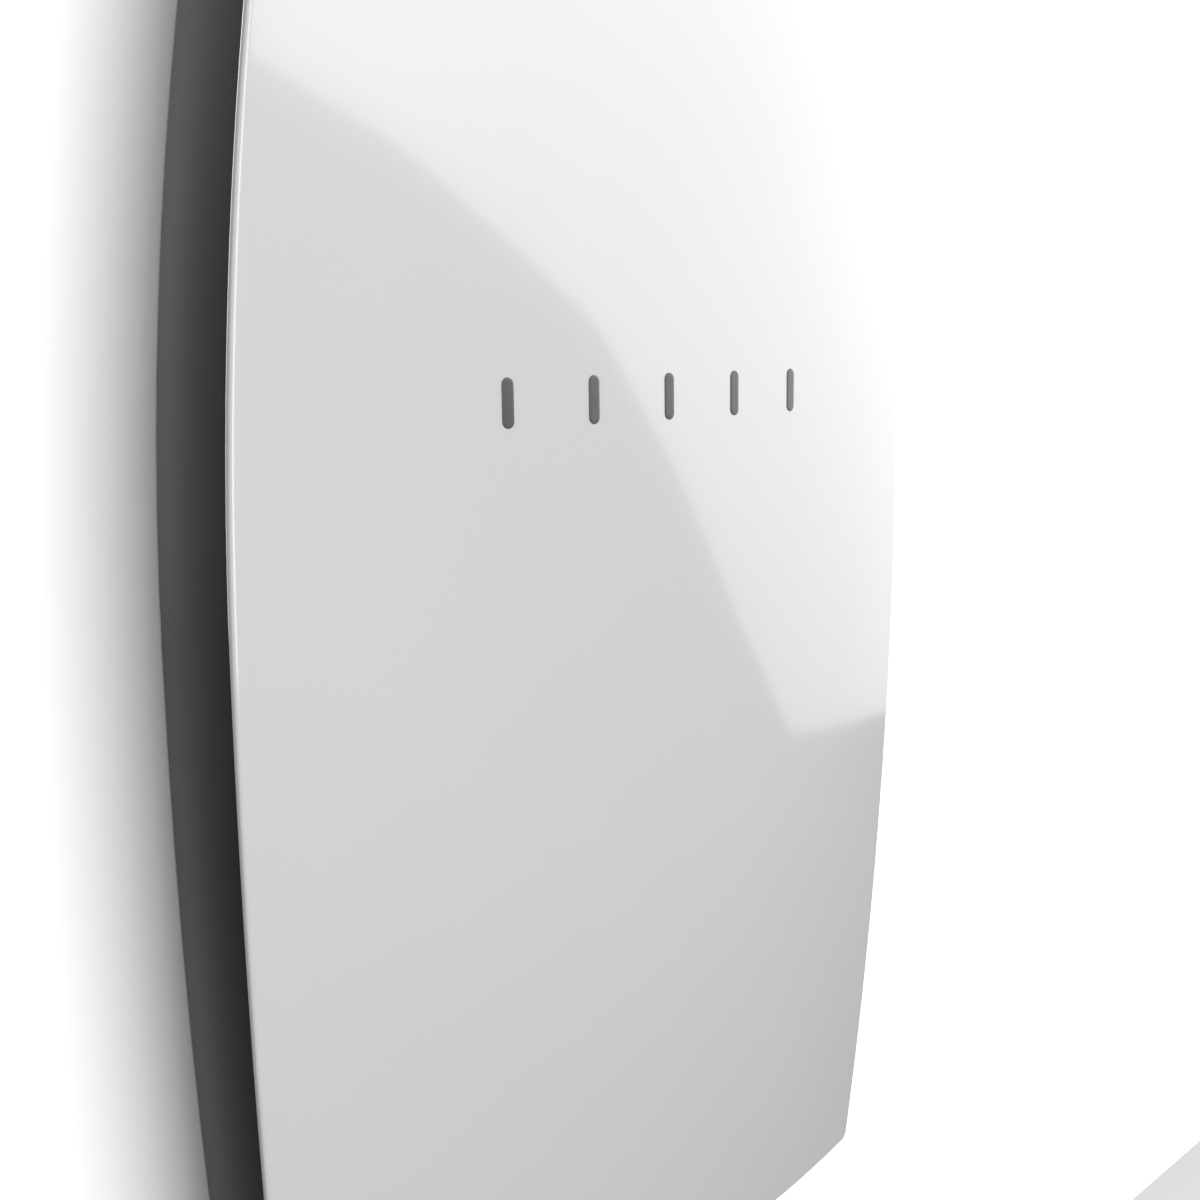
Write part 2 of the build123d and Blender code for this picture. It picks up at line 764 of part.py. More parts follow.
# ============ battery modules ============
tray_depth = back_face + module_foot
plate_depth = tray_depth + tray_wall
cell_depth = plate_depth + cold_plate_thickness
terminal_depth = cell_depth + cell_height
bus_depth = terminal_depth + terminal_height
cover_depth = bus_depth + bus_thickness + module_cover_room
column_pitch = cell_length + cell_column_gap
row_pitch = cell_thickness + cell_gap
module_inside = (module_width - 2 * tray_wall, module_height - 2 * tray_wall)
stub_depth = plate_depth + cold_plate_thickness / 2
plate_size = (module_inside[0] - 2 * cold_plate_clearance, module_inside[1] - 2 * cold_plate_clearance)
tray_inner_corner = tray_corner - tray_wall
manifold_column = ear_column + ear_size / 2 + tee_size / 2 + tee_gap
stub_end = manifold_column - tee_size / 2
for name, centre in zip(("upper", "lower"), module_centres):
    middle = centre[1]
    with BuildPart() as module_tray:
        with BuildSketch(out_from_wall(tray_depth)):
            with Locations(centre):
                RectangleRounded(module_width, module_height, tray_corner)
                with GridLocations(2 * ear_column, 2 * ear_row, 2, 2):
                    Rectangle(ear_size, ear_size)
        extrude(amount=tray_wall)
        with BuildSketch(out_from_wall(tray_depth)):
            with Locations(centre):
                RectangleRounded(module_width, module_height, tray_corner)
                RectangleRounded(*module_inside, tray_inner_corner, mode=Mode.SUBTRACT)
        extrude(amount=tray_wall_height)
        with BuildSketch(out_from_wall(back_face)):
            with Locations(centre):
                with GridLocations(2 * ear_column, 2 * ear_row, 2, 2):
                    Circle(foot_radius)
        extrude(amount=module_foot)
        with BuildSketch(out_from_wall(back_face)):
            with Locations(centre):
                with GridLocations(2 * ear_column, 2 * ear_row, 2, 2):
                    Circle(stud_radius + stud_clearance)
        extrude(amount=module_foot + tray_wall, mode=Mode.SUBTRACT)
        with BuildSketch(Plane.YZ):
            with Locations((-stub_depth, middle)):
                with GridLocations(1, 2 * stub_offset, 1, 2):
                    Circle(stub_radius + screw_clearance)
        extrude(amount=module_width, both=True, mode=Mode.SUBTRACT)
    save(module_tray.part, f"module_tray_{name}")

    with BuildPart() as cold_plate:
        with BuildSketch(out_from_wall(plate_depth)):
            with Locations(centre):
                RectangleRounded(*plate_size, tray_inner_corner)
        extrude(amount=cold_plate_thickness)
        with BuildSketch(Plane.YZ):
            with Locations((-stub_depth, middle)):
                with GridLocations(1, 2 * stub_offset, 1, 2):
                    Circle(stub_radius)
        extrude(amount=stub_end, both=True)
    save(cold_plate.part, f"cold_plate_{name}")

    with BuildPart() as cells:
        with BuildSketch(out_from_wall(cell_depth)):
            with Locations(centre):
                with GridLocations(column_pitch, row_pitch, cell_columns, cell_rows):
                    Rectangle(cell_length, cell_thickness)
        extrude(amount=cell_height)
        with BuildSketch(out_from_wall(terminal_depth)):
            with Locations(centre):
                with GridLocations(column_pitch, row_pitch, cell_columns, cell_rows):
                    with GridLocations(2 * terminal_offset, 1, 2, 1):
                        Circle(terminal_radius)
        extrude(amount=terminal_height)
    save(cells.part, f"cells_{name}")

    bar_points = [
        (
            (column - (cell_columns - 1) / 2) * column_pitch + (-1) ** row * terminal_offset,
            middle + (row + 0.5 - (cell_rows - 1) / 2) * row_pitch,
        )
        for column in range(cell_columns)
        for row in range(cell_rows - 1)
    ]
    with BuildPart() as bus_bars:
        with BuildSketch(out_from_wall(bus_depth)):
            with Locations(*bar_points):
                RectangleRounded(bus_width, row_pitch + 2 * terminal_radius, 4)
        extrude(amount=bus_thickness)
    save(bus_bars.part, f"bus_bars_{name}")

    cap_room = tray_wall + module_cover_clearance
    cap_outer = (module_width + 2 * cap_room, module_height + 2 * cap_room)
    cap_inner = (cap_outer[0] - 2 * tray_wall, cap_outer[1] - 2 * tray_wall)
    with BuildPart() as module_cover:
        with BuildSketch(out_from_wall(plate_depth + cold_plate_thickness)):
            with Locations(centre):
                RectangleRounded(*cap_outer, tray_corner + cap_room)
        extrude(amount=cover_depth + module_cover_skin - plate_depth - cold_plate_thickness)
        fillet(module_cover.faces().group_by(Axis.Y)[0].edges(), module_cover_round)
        with BuildSketch(out_from_wall(plate_depth + cold_plate_thickness)):
            with Locations(centre):
                RectangleRounded(*cap_inner, tray_corner + module_cover_clearance)
        extrude(amount=cover_depth - plate_depth - cold_plate_thickness, mode=Mode.SUBTRACT)
    save(module_cover.part, f"module_cover_{name}")

    board_depth = cover_depth + module_cover_skin
    with BuildPart() as sense_board:
        with BuildSketch(out_from_wall(board_depth)):
            with Locations(centre):
                Rectangle(*sense_board_size)
        extrude(amount=board_thickness)
        with BuildSketch(out_from_wall(board_depth + board_thickness)):
            with Locations(centre):
                with GridLocations(sense_chip_pitch, 1, 4, 1):
                    Rectangle(sense_chip_size, sense_chip_size)
                with Locations((sense_board_size[0] / 2 - sense_plug_inset, 0)):
                    Rectangle(*sense_plug_size)
        extrude(amount=sense_part_height)
    save(sense_board.part, f"sense_board_{name}")

with BuildPart() as module_nuts:
    with BuildSketch(out_from_wall(tray_depth + tray_wall)):
        with Locations(*module_studs):
            RegularPolygon(nut_radius, 6)
            Circle(stud_radius + thread_clearance, mode=Mode.SUBTRACT)
    extrude(amount=nut_height)
save(module_nuts.part, "module_nuts")

# ============ power electronics ============
sink_depth = back_face + fin_height
sink_face = sink_depth + converter_base
converter_board_depth = sink_face + board_post_height
fin_count = int(converter_size[0] // fin_pitch)
post_spread = (converter_size[0] - 2 * sink_post_inset, converter_size[1] - 2 * sink_post_inset)
with BuildPart() as converter_heat_sink:
    with BuildSketch(out_from_wall(sink_depth)):
        with Locations(converter_centre):
            RectangleRounded(*converter_size, sink_corner)
    extrude(amount=converter_base)
    with BuildSketch(out_from_wall(back_face)):
        with Locations(converter_centre):
            with GridLocations(fin_pitch, 1, fin_count, 1):
                Rectangle(fin_thickness, converter_size[1])
    extrude(amount=fin_height)
    with BuildSketch(out_from_wall(sink_face)):
        with Locations(converter_centre):
            with GridLocations(*post_spread, 2, 2):
                Circle(sink_post_radius)
    extrude(amount=board_post_height)
save(converter_heat_sink.part, "converter_heat_sink")

converter_board_size = (converter_size[0] - 2 * board_margin, converter_size[1] - 2 * board_margin)
with BuildPart() as converter_board:
    with BuildSketch(out_from_wall(converter_board_depth)):
        with Locations(converter_centre):
            RectangleRounded(*converter_board_size, board_corner)
    extrude(amount=board_thickness)
save(converter_board.part, "converter_board")

board_top = converter_board_depth + board_thickness
transistor_height = board_post_height - transistor_gap
with BuildPart() as power_transistors:
    with BuildSketch(out_from_wall(sink_face)):
        with Locations(converter_centre):
            with GridLocations(*transistor_spread, transistors_across, 2):
                Rectangle(*transistor_size)
    extrude(amount=transistor_height)
save(power_transistors.part, "power_transistors")

with BuildPart() as inductors:
    with BuildSketch(out_from_wall(board_top)):
        with Locations((converter_centre[0] + inductor_offset, converter_centre[1])):
            with GridLocations(inductor_pitch, inductor_pitch, 2, 2):
                Circle(inductor_radius)
                Circle(inductor_bore, mode=Mode.SUBTRACT)
    extrude(amount=inductor_height)
    fillet(inductors.edges().filter_by(GeomType.CIRCLE), inductor_round)
save(inductors.part, "inductors")

with BuildPart() as capacitors:
    with BuildSketch(out_from_wall(board_top)):
        with Locations((converter_centre[0] + capacitor_offset, converter_centre[1])):
            with GridLocations(capacitor_pitch, capacitor_pitch, 3, 4):
                Circle(capacitor_radius)
    extrude(amount=capacitor_height)
    fillet(capacitors.faces().group_by(Axis.Y)[0].edges(), capacitor_round)
save(capacitors.part, "capacitors")

manager_post_spread = (manager_size[0] - 2 * manager_post_inset, manager_size[1] - 2 * manager_post_inset)
with BuildPart() as board_posts:
    with BuildSketch(out_from_wall(back_face)):
        with Locations(manager_centre):
            with GridLocations(*manager_post_spread, 2, 2):
                RegularPolygon(manager_post_radius, 6)
    extrude(amount=manager_post_height)
save(board_posts.part, "board_posts")

manager_depth = back_face + manager_post_height
with BuildPart() as management_board:
    with BuildSketch(out_from_wall(manager_depth)):
        with Locations(manager_centre):
            RectangleRounded(*manager_size, board_corner)
    extrude(amount=board_thickness)
    with BuildSketch(out_from_wall(manager_depth + board_thickness)):
        with Locations(manager_centre):
            with Locations(processor_offset):
                Rectangle(processor_size, processor_size)
            with Locations(driver_offset):
                Rectangle(*driver_size)
            with Locations((0, -relay_drop)):
                with GridLocations(relay_pitch, 1, 4, 1):
                    Rectangle(*relay_size)
    extrude(amount=manager_chip_height)
save(management_board.part, "management_board")

with BuildPart() as board_connectors:
    with BuildSketch(out_from_wall(manager_depth + board_thickness)):
        with Locations((manager_centre[0], manager_centre[1] + manager_size[1] / 2 - plug_inset)):
            with GridLocations(plug_pitch, 1, 3, 1):
                Rectangle(*plug_size)
        with Locations((manager_centre[0] + manager_size[0] / 2 - plug_inset, manager_centre[1])):
            Rectangle(*side_plug_size)
    extrude(amount=plug_height)
save(board_connectors.part, "board_connectors")

with BuildPart() as contactors:
    with BuildSketch(out_from_wall(back_face)):
        with Locations(contactor_centre):
            with GridLocations(contactor_pitch, 1, 2, 1):
                RectangleRounded(contactor_size[0], contactor_size[1], contactor_corner)
    extrude(amount=contactor_size[2])
    with BuildSketch(out_from_wall(back_face + contactor_size[2])):
        with Locations(contactor_centre):
            with GridLocations(contactor_pitch, 1, 2, 1):
                with GridLocations(contactor_post_pitch, 1, 2, 1):
                    Circle(contactor_post_radius)
    extrude(amount=contactor_post_height)
save(contactors.part, "contactors")

link_depth = back_face + contactor_size[2] + contactor_post_height
fuse_depth = back_face + fuse_stand
with BuildPart() as pyro_fuse:
    with BuildSketch(Plane.YZ.offset(fuse_centre[0] - fuse_length / 2)):
        with Locations((-fuse_depth, fuse_centre[1])):
            Circle(fuse_radius)
    extrude(amount=fuse_length)
    fillet(pyro_fuse.edges().filter_by(GeomType.CIRCLE), edge_round)
    with BuildSketch(out_from_wall(back_face)):
        with Locations(fuse_centre):
            with GridLocations(fuse_length - 2 * fuse_foot_inset, 1, 2, 1):
                Rectangle(*fuse_foot)
    extrude(amount=fuse_depth - back_face)
save(pyro_fuse.part, "pyro_fuse")

with BuildPart() as high_voltage_links:
    with BuildSketch(out_from_wall(link_depth)):
        with Locations(contactor_centre):
            RectangleRounded(contactor_pitch - contactor_post_pitch + link_width, link_width, link_corner)
            with GridLocations(contactor_pitch + contactor_post_pitch, 1, 2, 1):
                with Locations((0, -link_drop)):
                    RectangleRounded(link_width, link_length, link_corner)
    extrude(amount=bus_thickness)
save(high_voltage_links.part, "high_voltage_links")

sensor_column = contactor_centre[0] - (contactor_pitch + contactor_post_pitch) / 2
sensor_height = contactor_centre[1] - sensor_drop - sensor_thickness / 2
with BuildPart() as current_sensor:
    with BuildSketch(Plane.XY.offset(sensor_height)):
        with Locations((sensor_column, -link_depth - bus_thickness / 2)):
            Circle(sensor_radius)
            Rectangle(*sensor_window, mode=Mode.SUBTRACT)
    extrude(amount=sensor_thickness)
    fillet(current_sensor.edges().filter_by(GeomType.CIRCLE), edge_round)
save(current_sensor.part, "current_sensor")

# ============ wiring corner ============
block_width, block_rise, block_depth = terminal_block_size
terminal_pitch = block_width / terminal_count
cage_size = (terminal_pitch - terminal_divider, block_rise - 2 * terminal_rim)
with BuildPart() as terminal_block:
    with BuildSketch(out_from_wall(back_face)):
        with Locations(terminal_block_centre):
            Rectangle(block_width, block_rise)
    extrude(amount=block_depth)
    with BuildSketch(out_from_wall(back_face + terminal_floor)):
        with Locations(terminal_block_centre):
            with GridLocations(terminal_pitch, 1, terminal_count, 1):
                Rectangle(*cage_size)
    extrude(amount=block_depth, mode=Mode.SUBTRACT)
save(terminal_block.part, "terminal_block")

with BuildPart() as terminal_clamps:
    with BuildSketch(out_from_wall(back_face + terminal_floor)):
        with Locations(terminal_block_centre):
            with GridLocations(terminal_pitch, 1, terminal_count, 1):
                Rectangle(cage_size[0] - 2 * clamp_clearance, cage_size[1] - 2 * clamp_clearance)
    extrude(amount=clamp_height)
    with BuildSketch(out_from_wall(back_face + terminal_floor + clamp_height)):
        with Locations(terminal_block_centre):
            with GridLocations(terminal_pitch, 1, terminal_count, 1):
                Circle(clamp_screw_radius)
                Rectangle(*clamp_screw_slot, mode=Mode.SUBTRACT)
    extrude(amount=clamp_screw_height)
save(terminal_clamps.part, "terminal_clamps")

gland_locations = [(x, -depth) for x, depth in gland_points]
gland_length = gland_hex_height + gland_cap_height + gland_thread_length
with BuildPart() as cable_glands:
    with BuildSketch(Plane.XY.offset(bottom_face)):
        with Locations(*gland_locations):
            RegularPolygon(gland_hex_radius, 6)
    extrude(amount=-gland_hex_height)
    with BuildSketch(Plane.XY.offset(bottom_face - gland_hex_height)):
        with Locations(*gland_locations):
            Circle(gland_cap_radius)
    extrude(amount=-gland_cap_height)
    fillet(cable_glands.faces().group_by(Axis.Z)[0].edges(), gland_round)
    with BuildSketch(Plane.XY.offset(bottom_face)):
        with Locations(*gland_locations):
            Circle(gland_thread_radius)
    extrude(amount=gland_thread_length)
    with BuildSketch(Plane.XY.offset(bottom_face - gland_hex_height - gland_cap_height)):
        with Locations(*gland_locations):
            Circle(gland_bore)
    extrude(amount=gland_length, mode=Mode.SUBTRACT)
save(cable_glands.part, "cable_glands")

with BuildPart() as gland_nuts:
    with BuildSketch(Plane.XY.offset(bottom_face + casing_wall)):
        with Locations(*gland_locations):
            RegularPolygon(gland_hex_radius, 6)
            Circle(gland_thread_radius + thread_clearance, mode=Mode.SUBTRACT)
    extrude(amount=gland_nut_height)
save(gland_nuts.part, "gland_nuts")

with BuildPart() as pressure_vent:
    with BuildSketch(Plane.XY.offset(bottom_face)):
        with Locations((vent_column, -gland_depth)):
            Circle(vent_radius)
    extrude(amount=-vent_height)
    fillet(pressure_vent.faces().group_by(Axis.Z)[0].edges(), vent_round)
    with BuildSketch(Plane.XY.offset(bottom_face)):
        with Locations((vent_column, -gland_depth)):
            Circle(vent_radius / 2)
    extrude(amount=vent_stem)
save(pressure_vent.part, "pressure_vent")

with BuildPart() as earth_stud:
    with BuildSketch(Plane.XY.offset(bottom_face)):
        with Locations((earth_column, -gland_depth)):
            RegularPolygon(earth_nut_radius, 6)
    extrude(amount=-earth_nut_height)
    with BuildSketch(Plane.XY.offset(bottom_face)):
        with Locations((earth_column, -gland_depth)):
            Circle(earth_radius)
    extrude(amount=earth_stud_end, both=True)
save(earth_stud.part, "earth_stud")

# ============ thermal loop ============
radiator_depth = back_face + module_foot
shroud_depth = radiator_depth + radiator_thickness
core_size = (radiator_size[0], radiator_size[1] - 2 * radiator_tank)
with BuildPart() as radiator_core:
    with BuildSketch(out_from_wall(radiator_depth)):
        with Locations(radiator_centre):
            with GridLocations(1, fin_sheet_pitch, 1, int(core_size[1] // fin_sheet_pitch)):
                Rectangle(core_size[0], fin_sheet)
            with GridLocations(core_size[0] / radiator_tubes, 1, radiator_tubes, 1):
                Rectangle(radiator_tube_width, core_size[1])
    extrude(amount=radiator_thickness)
save(radiator_core.part, "radiator_core")

with BuildPart() as radiator_tanks:
    with BuildSketch(out_from_wall(radiator_depth)):
        with Locations(radiator_centre):
            with GridLocations(1, core_size[1] + radiator_tank, 1, 2):
                RectangleRounded(radiator_size[0], radiator_tank, radiator_tank_corner)
    extrude(amount=radiator_thickness)
save(radiator_tanks.part, "radiator_tanks")

fan_front = shroud_depth + fan_thickness
fan_bore = fan_tip_radius + fan_tip_clearance
with BuildPart() as fan_frame:
    with BuildSketch(out_from_wall(shroud_depth)):
        with Locations(radiator_centre):
            RectangleRounded(fan_size, fan_size, fan_corner)
            Circle(fan_bore, mode=Mode.SUBTRACT)
    extrude(amount=fan_thickness)
    with BuildSketch(out_from_wall(shroud_depth)):
        with Locations(radiator_centre):
            Rectangle(2 * fan_bore + 2 * cut_overrun, fan_arm_width)
            Rectangle(fan_arm_width, 2 * fan_bore + 2 * cut_overrun)
            Circle(fan_motor_radius + fan_motor_seat)
    extrude(amount=fan_arm_thickness)
    with BuildSketch(out_from_wall(shroud_depth)):
        with Locations(radiator_centre):
            Circle(fan_motor_radius)
    extrude(amount=fan_motor_height)
    with BuildSketch(out_from_wall(shroud_depth)):
        with Locations(radiator_centre):
            Circle(fan_shaft_radius)
    extrude(amount=fan_thickness - 2 * fan_end_clearance)
    with BuildSketch(out_from_wall(shroud_depth)):
        with Locations(radiator_centre):
            with GridLocations(fan_size - 2 * fan_hole_inset, fan_size - 2 * fan_hole_inset, 2, 2):
                Circle(fan_hole_radius)
    extrude(amount=fan_thickness, mode=Mode.SUBTRACT)
save(fan_frame.part, "fan_frame")

hub_depth = shroud_depth + fan_motor_height + impeller_gap
hub_height = fan_front - hub_depth - fan_end_clearance
blade_length = fan_tip_radius - fan_hub_radius + blade_root
fan_axis = Plane(
    origin=(radiator_centre[0], -hub_depth - hub_height / 2, radiator_centre[1]),
    x_dir=(1, 0, 0),
    z_dir=(0, -1, 0),
)
with BuildPart() as fan_rotor:
    with BuildSketch(fan_axis.offset(-hub_height / 2)):
        Circle(fan_hub_radius)
    extrude(amount=hub_height)
    fillet(fan_rotor.faces().group_by(Axis.Y)[0].edges(), edge_round)
    with Locations(fan_axis):
        with PolarLocations((fan_tip_radius + fan_hub_radius - blade_root) / 2, fan_blades):
            Box(blade_length, blade_depth, blade_thickness, rotation=(blade_pitch, 0, 0))
    with BuildSketch(fan_axis.offset(-hub_height / 2)):
        Circle(fan_tip_radius + blade_depth)
        Circle(fan_tip_radius, mode=Mode.SUBTRACT)
    extrude(amount=hub_height, mode=Mode.SUBTRACT)
    with BuildSketch(fan_axis.offset(-hub_height / 2)):
        Circle(fan_shaft_radius + running_clearance)
    extrude(amount=hub_height - shaft_end_gap, mode=Mode.SUBTRACT)
save(fan_rotor.part, "fan_rotor")

pump_depth = back_face + pump_motor_height
pump_outer = pump_chamber_radius + pump_wall
chamber_top = pump_depth + pump_wall + pump_chamber_height
port_column = pump_centre[0] - pump_outer + pipe_radius
port_depth = pump_depth + pipe_radius + pump_port_lift
with BuildPart() as pump_motor:
    with BuildSketch(out_from_wall(back_face)):
        with Locations(pump_centre):
            Circle(pump_motor_radius)
    extrude(amount=pump_motor_height)
    fillet(pump_motor.faces().group_by(Axis.Y)[-1].edges(), pump_round)
    with BuildSketch(out_from_wall(pump_depth)):
        with Locations(pump_centre):
            Circle(fan_shaft_radius)
    extrude(amount=pump_wall + pump_chamber_height - shaft_end_gap)
save(pump_motor.part, "pump_motor")

with BuildPart() as pump_housing:
    with BuildSketch(out_from_wall(pump_depth)):
        with Locations(pump_centre):
            Circle(pump_outer)
    extrude(amount=pump_wall + pump_chamber_height)
    with BuildSketch(Plane.XY.offset(pump_centre[1])):
        with Locations((port_column, -port_depth)):
            Circle(pipe_radius)
    extrude(amount=pump_port_reach)
    with BuildSketch(out_from_wall(pump_depth + pump_wall)):
        with Locations(pump_centre):
            Circle(pump_chamber_radius)
    extrude(amount=pump_chamber_height, mode=Mode.SUBTRACT)
    with BuildSketch(Plane.XY.offset(pump_centre[1])):
        with Locations((port_column, -port_depth)):
            Circle(pipe_radius - 2 * pipe_wall)
    extrude(amount=pump_port_reach, mode=Mode.SUBTRACT)
    with BuildSketch(out_from_wall(pump_depth)):
        with Locations(pump_centre):
            Circle(fan_shaft_radius + running_clearance)
    extrude(amount=pump_wall, mode=Mode.SUBTRACT)
save(pump_housing.part, "pump_housing")

with BuildPart() as pump_lid:
    with BuildSketch(out_from_wall(chamber_top)):
        with Locations(pump_centre):
            Circle(pump_outer)
    extrude(amount=pump_wall)
    with BuildSketch(out_from_wall(chamber_top + pump_wall)):
        with Locations(pump_centre):
            Circle(pipe_radius)
    extrude(amount=pump_spigot_length)
    with BuildSketch(out_from_wall(chamber_top)):
        with Locations(pump_centre):
            Circle(pipe_radius - 2 * pipe_wall)
    extrude(amount=pump_wall + pump_spigot_length, mode=Mode.SUBTRACT)
save(pump_lid.part, "pump_lid")

impeller_depth = pump_depth + pump_wall + impeller_gap
vane_length = impeller_radius - 2 * vane_thickness
vane_middle = (impeller_radius + vane_thickness) / 2
with BuildPart() as pump_impeller:
    with BuildSketch(out_from_wall(impeller_depth)):
        with Locations(pump_centre):
            Circle(impeller_radius)
    extrude(amount=impeller_disc)
    with BuildSketch(out_from_wall(impeller_depth + impeller_disc)):
        with Locations(pump_centre):
            Circle(fan_shaft_radius + impeller_hub_wall)
            with PolarLocations(vane_middle, impeller_vanes):
                Rectangle(vane_length, vane_thickness, rotation=vane_sweep)
    extrude(amount=vane_height)
    with BuildSketch(out_from_wall(impeller_depth)):
        with Locations(pump_centre):
            Circle(fan_shaft_radius + running_clearance)
    extrude(amount=pump_chamber_height, mode=Mode.SUBTRACT)
save(pump_impeller.part, "pump_impeller")

# one manifold stands down each side of the modules, with a tee at every cold plate stub
stub_heights = [middle + side * stub_offset for _, middle in module_centres for side in (1, -1)]
manifold_low = min(stub_heights) - manifold_overhang
manifold_high = max(stub_heights) + manifold_overhang
with BuildPart() as coolant_manifolds:
    with BuildSketch(Plane.XY.offset(manifold_low)):
        with Locations((-manifold_column, -stub_depth), (manifold_column, -stub_depth)):
            Circle(manifold_radius)
    extrude(amount=manifold_high - manifold_low)
    for height in stub_heights:
        with BuildSketch(Plane.XY.offset(height - tee_size / 2)):
            with Locations((-manifold_column, -stub_depth), (manifold_column, -stub_depth)):
                RectangleRounded(tee_size, tee_thickness, tee_corner)
        extrude(amount=tee_size)
save(coolant_manifolds.part, "coolant_manifolds")

# hot pipe from the left manifold to the radiator, suction pipe from the radiator to the pump lid,
# pressure pipe from the pump to the right manifold
top_tank = radiator_centre[1] + (core_size[1] + radiator_tank) / 2
bottom_tank = radiator_centre[1] - (core_size[1] + radiator_tank) / 2
tank_reach = radiator_size[0] / 2
tank_depth = radiator_depth + radiator_thickness / 2
inlet_depth = chamber_top + pump_wall + pump_spigot_length
crossing_height = module_centres[1][1] - module_height / 2 - crossing_drop
hot_route = [
    (-manifold_column, -stub_depth, manifold_low),
    (-manifold_column, -stub_depth, (manifold_low + top_tank) / 2),
    (-manifold_column, -tank_depth, (manifold_low + top_tank) / 2 - hot_pipe_drop),
    (-manifold_column, -tank_depth, top_tank),
    (radiator_centre[0] - tank_reach, -tank_depth, top_tank),
]
suction_route = [
    (radiator_centre[0] + tank_reach, -tank_depth, bottom_tank),
    (pump_centre[0], -tank_depth, bottom_tank),
    (pump_centre[0], -inlet_depth - suction_loop, bottom_tank),
    (pump_centre[0], -inlet_depth - suction_loop, pump_centre[1]),
    (pump_centre[0], -inlet_depth, pump_centre[1]),
]
pressure_route = [
    (port_column, -port_depth, pump_centre[1] + pump_port_reach),
    (port_column, -port_depth, crossing_height),
    (manifold_column, -port_depth, crossing_height),
    (manifold_column, -stub_depth, crossing_height + crossing_rise),
    (manifold_column, -stub_depth, manifold_low),
]
with BuildPart() as coolant_pipes:
    for route in (hot_route, suction_route, pressure_route):
        with BuildLine() as path:
            FilletPolyline(*route, radius=pipe_bend)
        with BuildSketch(Plane(origin=path.line @ 0, z_dir=path.line % 0)):
            Circle(manifold_radius)
        sweep(path=path.line)
save(coolant_pipes.part, "coolant_pipes")

reservoir_width, reservoir_rise, reservoir_deep = reservoir_size
with BuildPart() as coolant_reservoir:
    with BuildSketch(out_from_wall(back_face)):
        with Locations(reservoir_centre):
            RectangleRounded(reservoir_width, reservoir_rise, reservoir_corner)
    extrude(amount=reservoir_deep)
    fillet(coolant_reservoir.faces().group_by(Axis.Y)[0].edges(), reservoir_round)
    with BuildSketch(Plane.XY.offset(reservoir_centre[1] + reservoir_rise / 2)):
        with Locations((reservoir_centre[0], -back_face - reservoir_deep / 2)):
            Circle(filler_radius)
    extrude(amount=filler_height)
save(coolant_reservoir.part, "coolant_reservoir")

with BuildPart() as reservoir_cap:
    with BuildSketch(Plane.XY.offset(reservoir_centre[1] + reservoir_rise / 2 + filler_height)):
        with Locations((reservoir_centre[0], -back_face - reservoir_deep / 2)):
            Circle(cap_radius)
            with PolarLocations(cap_radius, cap_grips):
                Circle(cap_grip_radius)
    extrude(amount=cap_height)
save(reservoir_cap.part, "reservoir_cap")

# ============ side controls ============
panel_side = Plane(
    origin=(panel_face, -panel_mid_depth, panel_centre_height),
    x_dir=(0, 1, 0),
    z_dir=(1, 0, 0),
)
panel_body_size = (
    panel_depth_high - panel_depth_low - 2 * panel_body_clearance,
    panel_height - 2 * panel_body_clearance,
)
flange_size = (panel_body_size[0] + 2 * panel_flange_lap, panel_body_size[1] + 2 * panel_flange_lap)
pocket_size = (rocker_width + 2 * rocker_clearance, rocker_length + 2 * rocker_clearance)
with BuildPart() as control_panel:
    with BuildSketch(panel_side):
        RectangleRounded(*flange_size, panel_corner)
    extrude(amount=panel_flange)
    fillet(control_panel.faces().group_by(Axis.X)[-1].edges(), panel_round)
    with BuildSketch(panel_side):
        Rectangle(*panel_body_size)
    extrude(amount=-panel_body)
    with BuildSketch(panel_side.offset(panel_flange)):
        with Locations((0, rocker_offset)):
            Rectangle(*pocket_size)
    extrude(amount=-pocket_depth, mode=Mode.SUBTRACT)
    with BuildSketch(panel_side.offset(panel_flange)):
        with Locations((0, lever_offset)):
            Circle(lever_shaft_radius + running_clearance)
    extrude(amount=-pocket_depth, mode=Mode.SUBTRACT)
    with BuildSketch(panel_side.offset(panel_flange)):
        with Locations((0, lens_offset)):
            Circle(lens_radius)
    extrude(amount=-lens_seat, mode=Mode.SUBTRACT)
    with BuildSketch(Plane.XZ.offset(panel_mid_depth)):
        with Locations((panel_front - pocket_depth / 2, panel_centre_height + rocker_offset)):
            Circle(rocker_pin_radius)
    extrude(amount=pocket_size[0] / 2 + cut_overrun, both=True)
save(control_panel.part, "control_panel")

with BuildPart() as isolator_lever:
    with BuildSketch(panel_side.offset(panel_flange + lever_gap)):
        with Locations((0, lever_offset)):
            Circle(lever_hub_radius)
            with Locations((0, lever_length / 2)):
                SlotOverall(lever_length + lever_hub_radius, lever_width, rotation=90)
    extrude(amount=lever_thickness)
    fillet(isolator_lever.faces().group_by(Axis.X)[-1].edges(), panel_round)
    with BuildSketch(panel_side.offset(panel_flange + lever_gap)):
        with Locations((0, lever_offset)):
            Circle(lever_shaft_radius)
    extrude(amount=lever_shaft_end - pocket_depth)
save(isolator_lever.part, "isolator_lever")

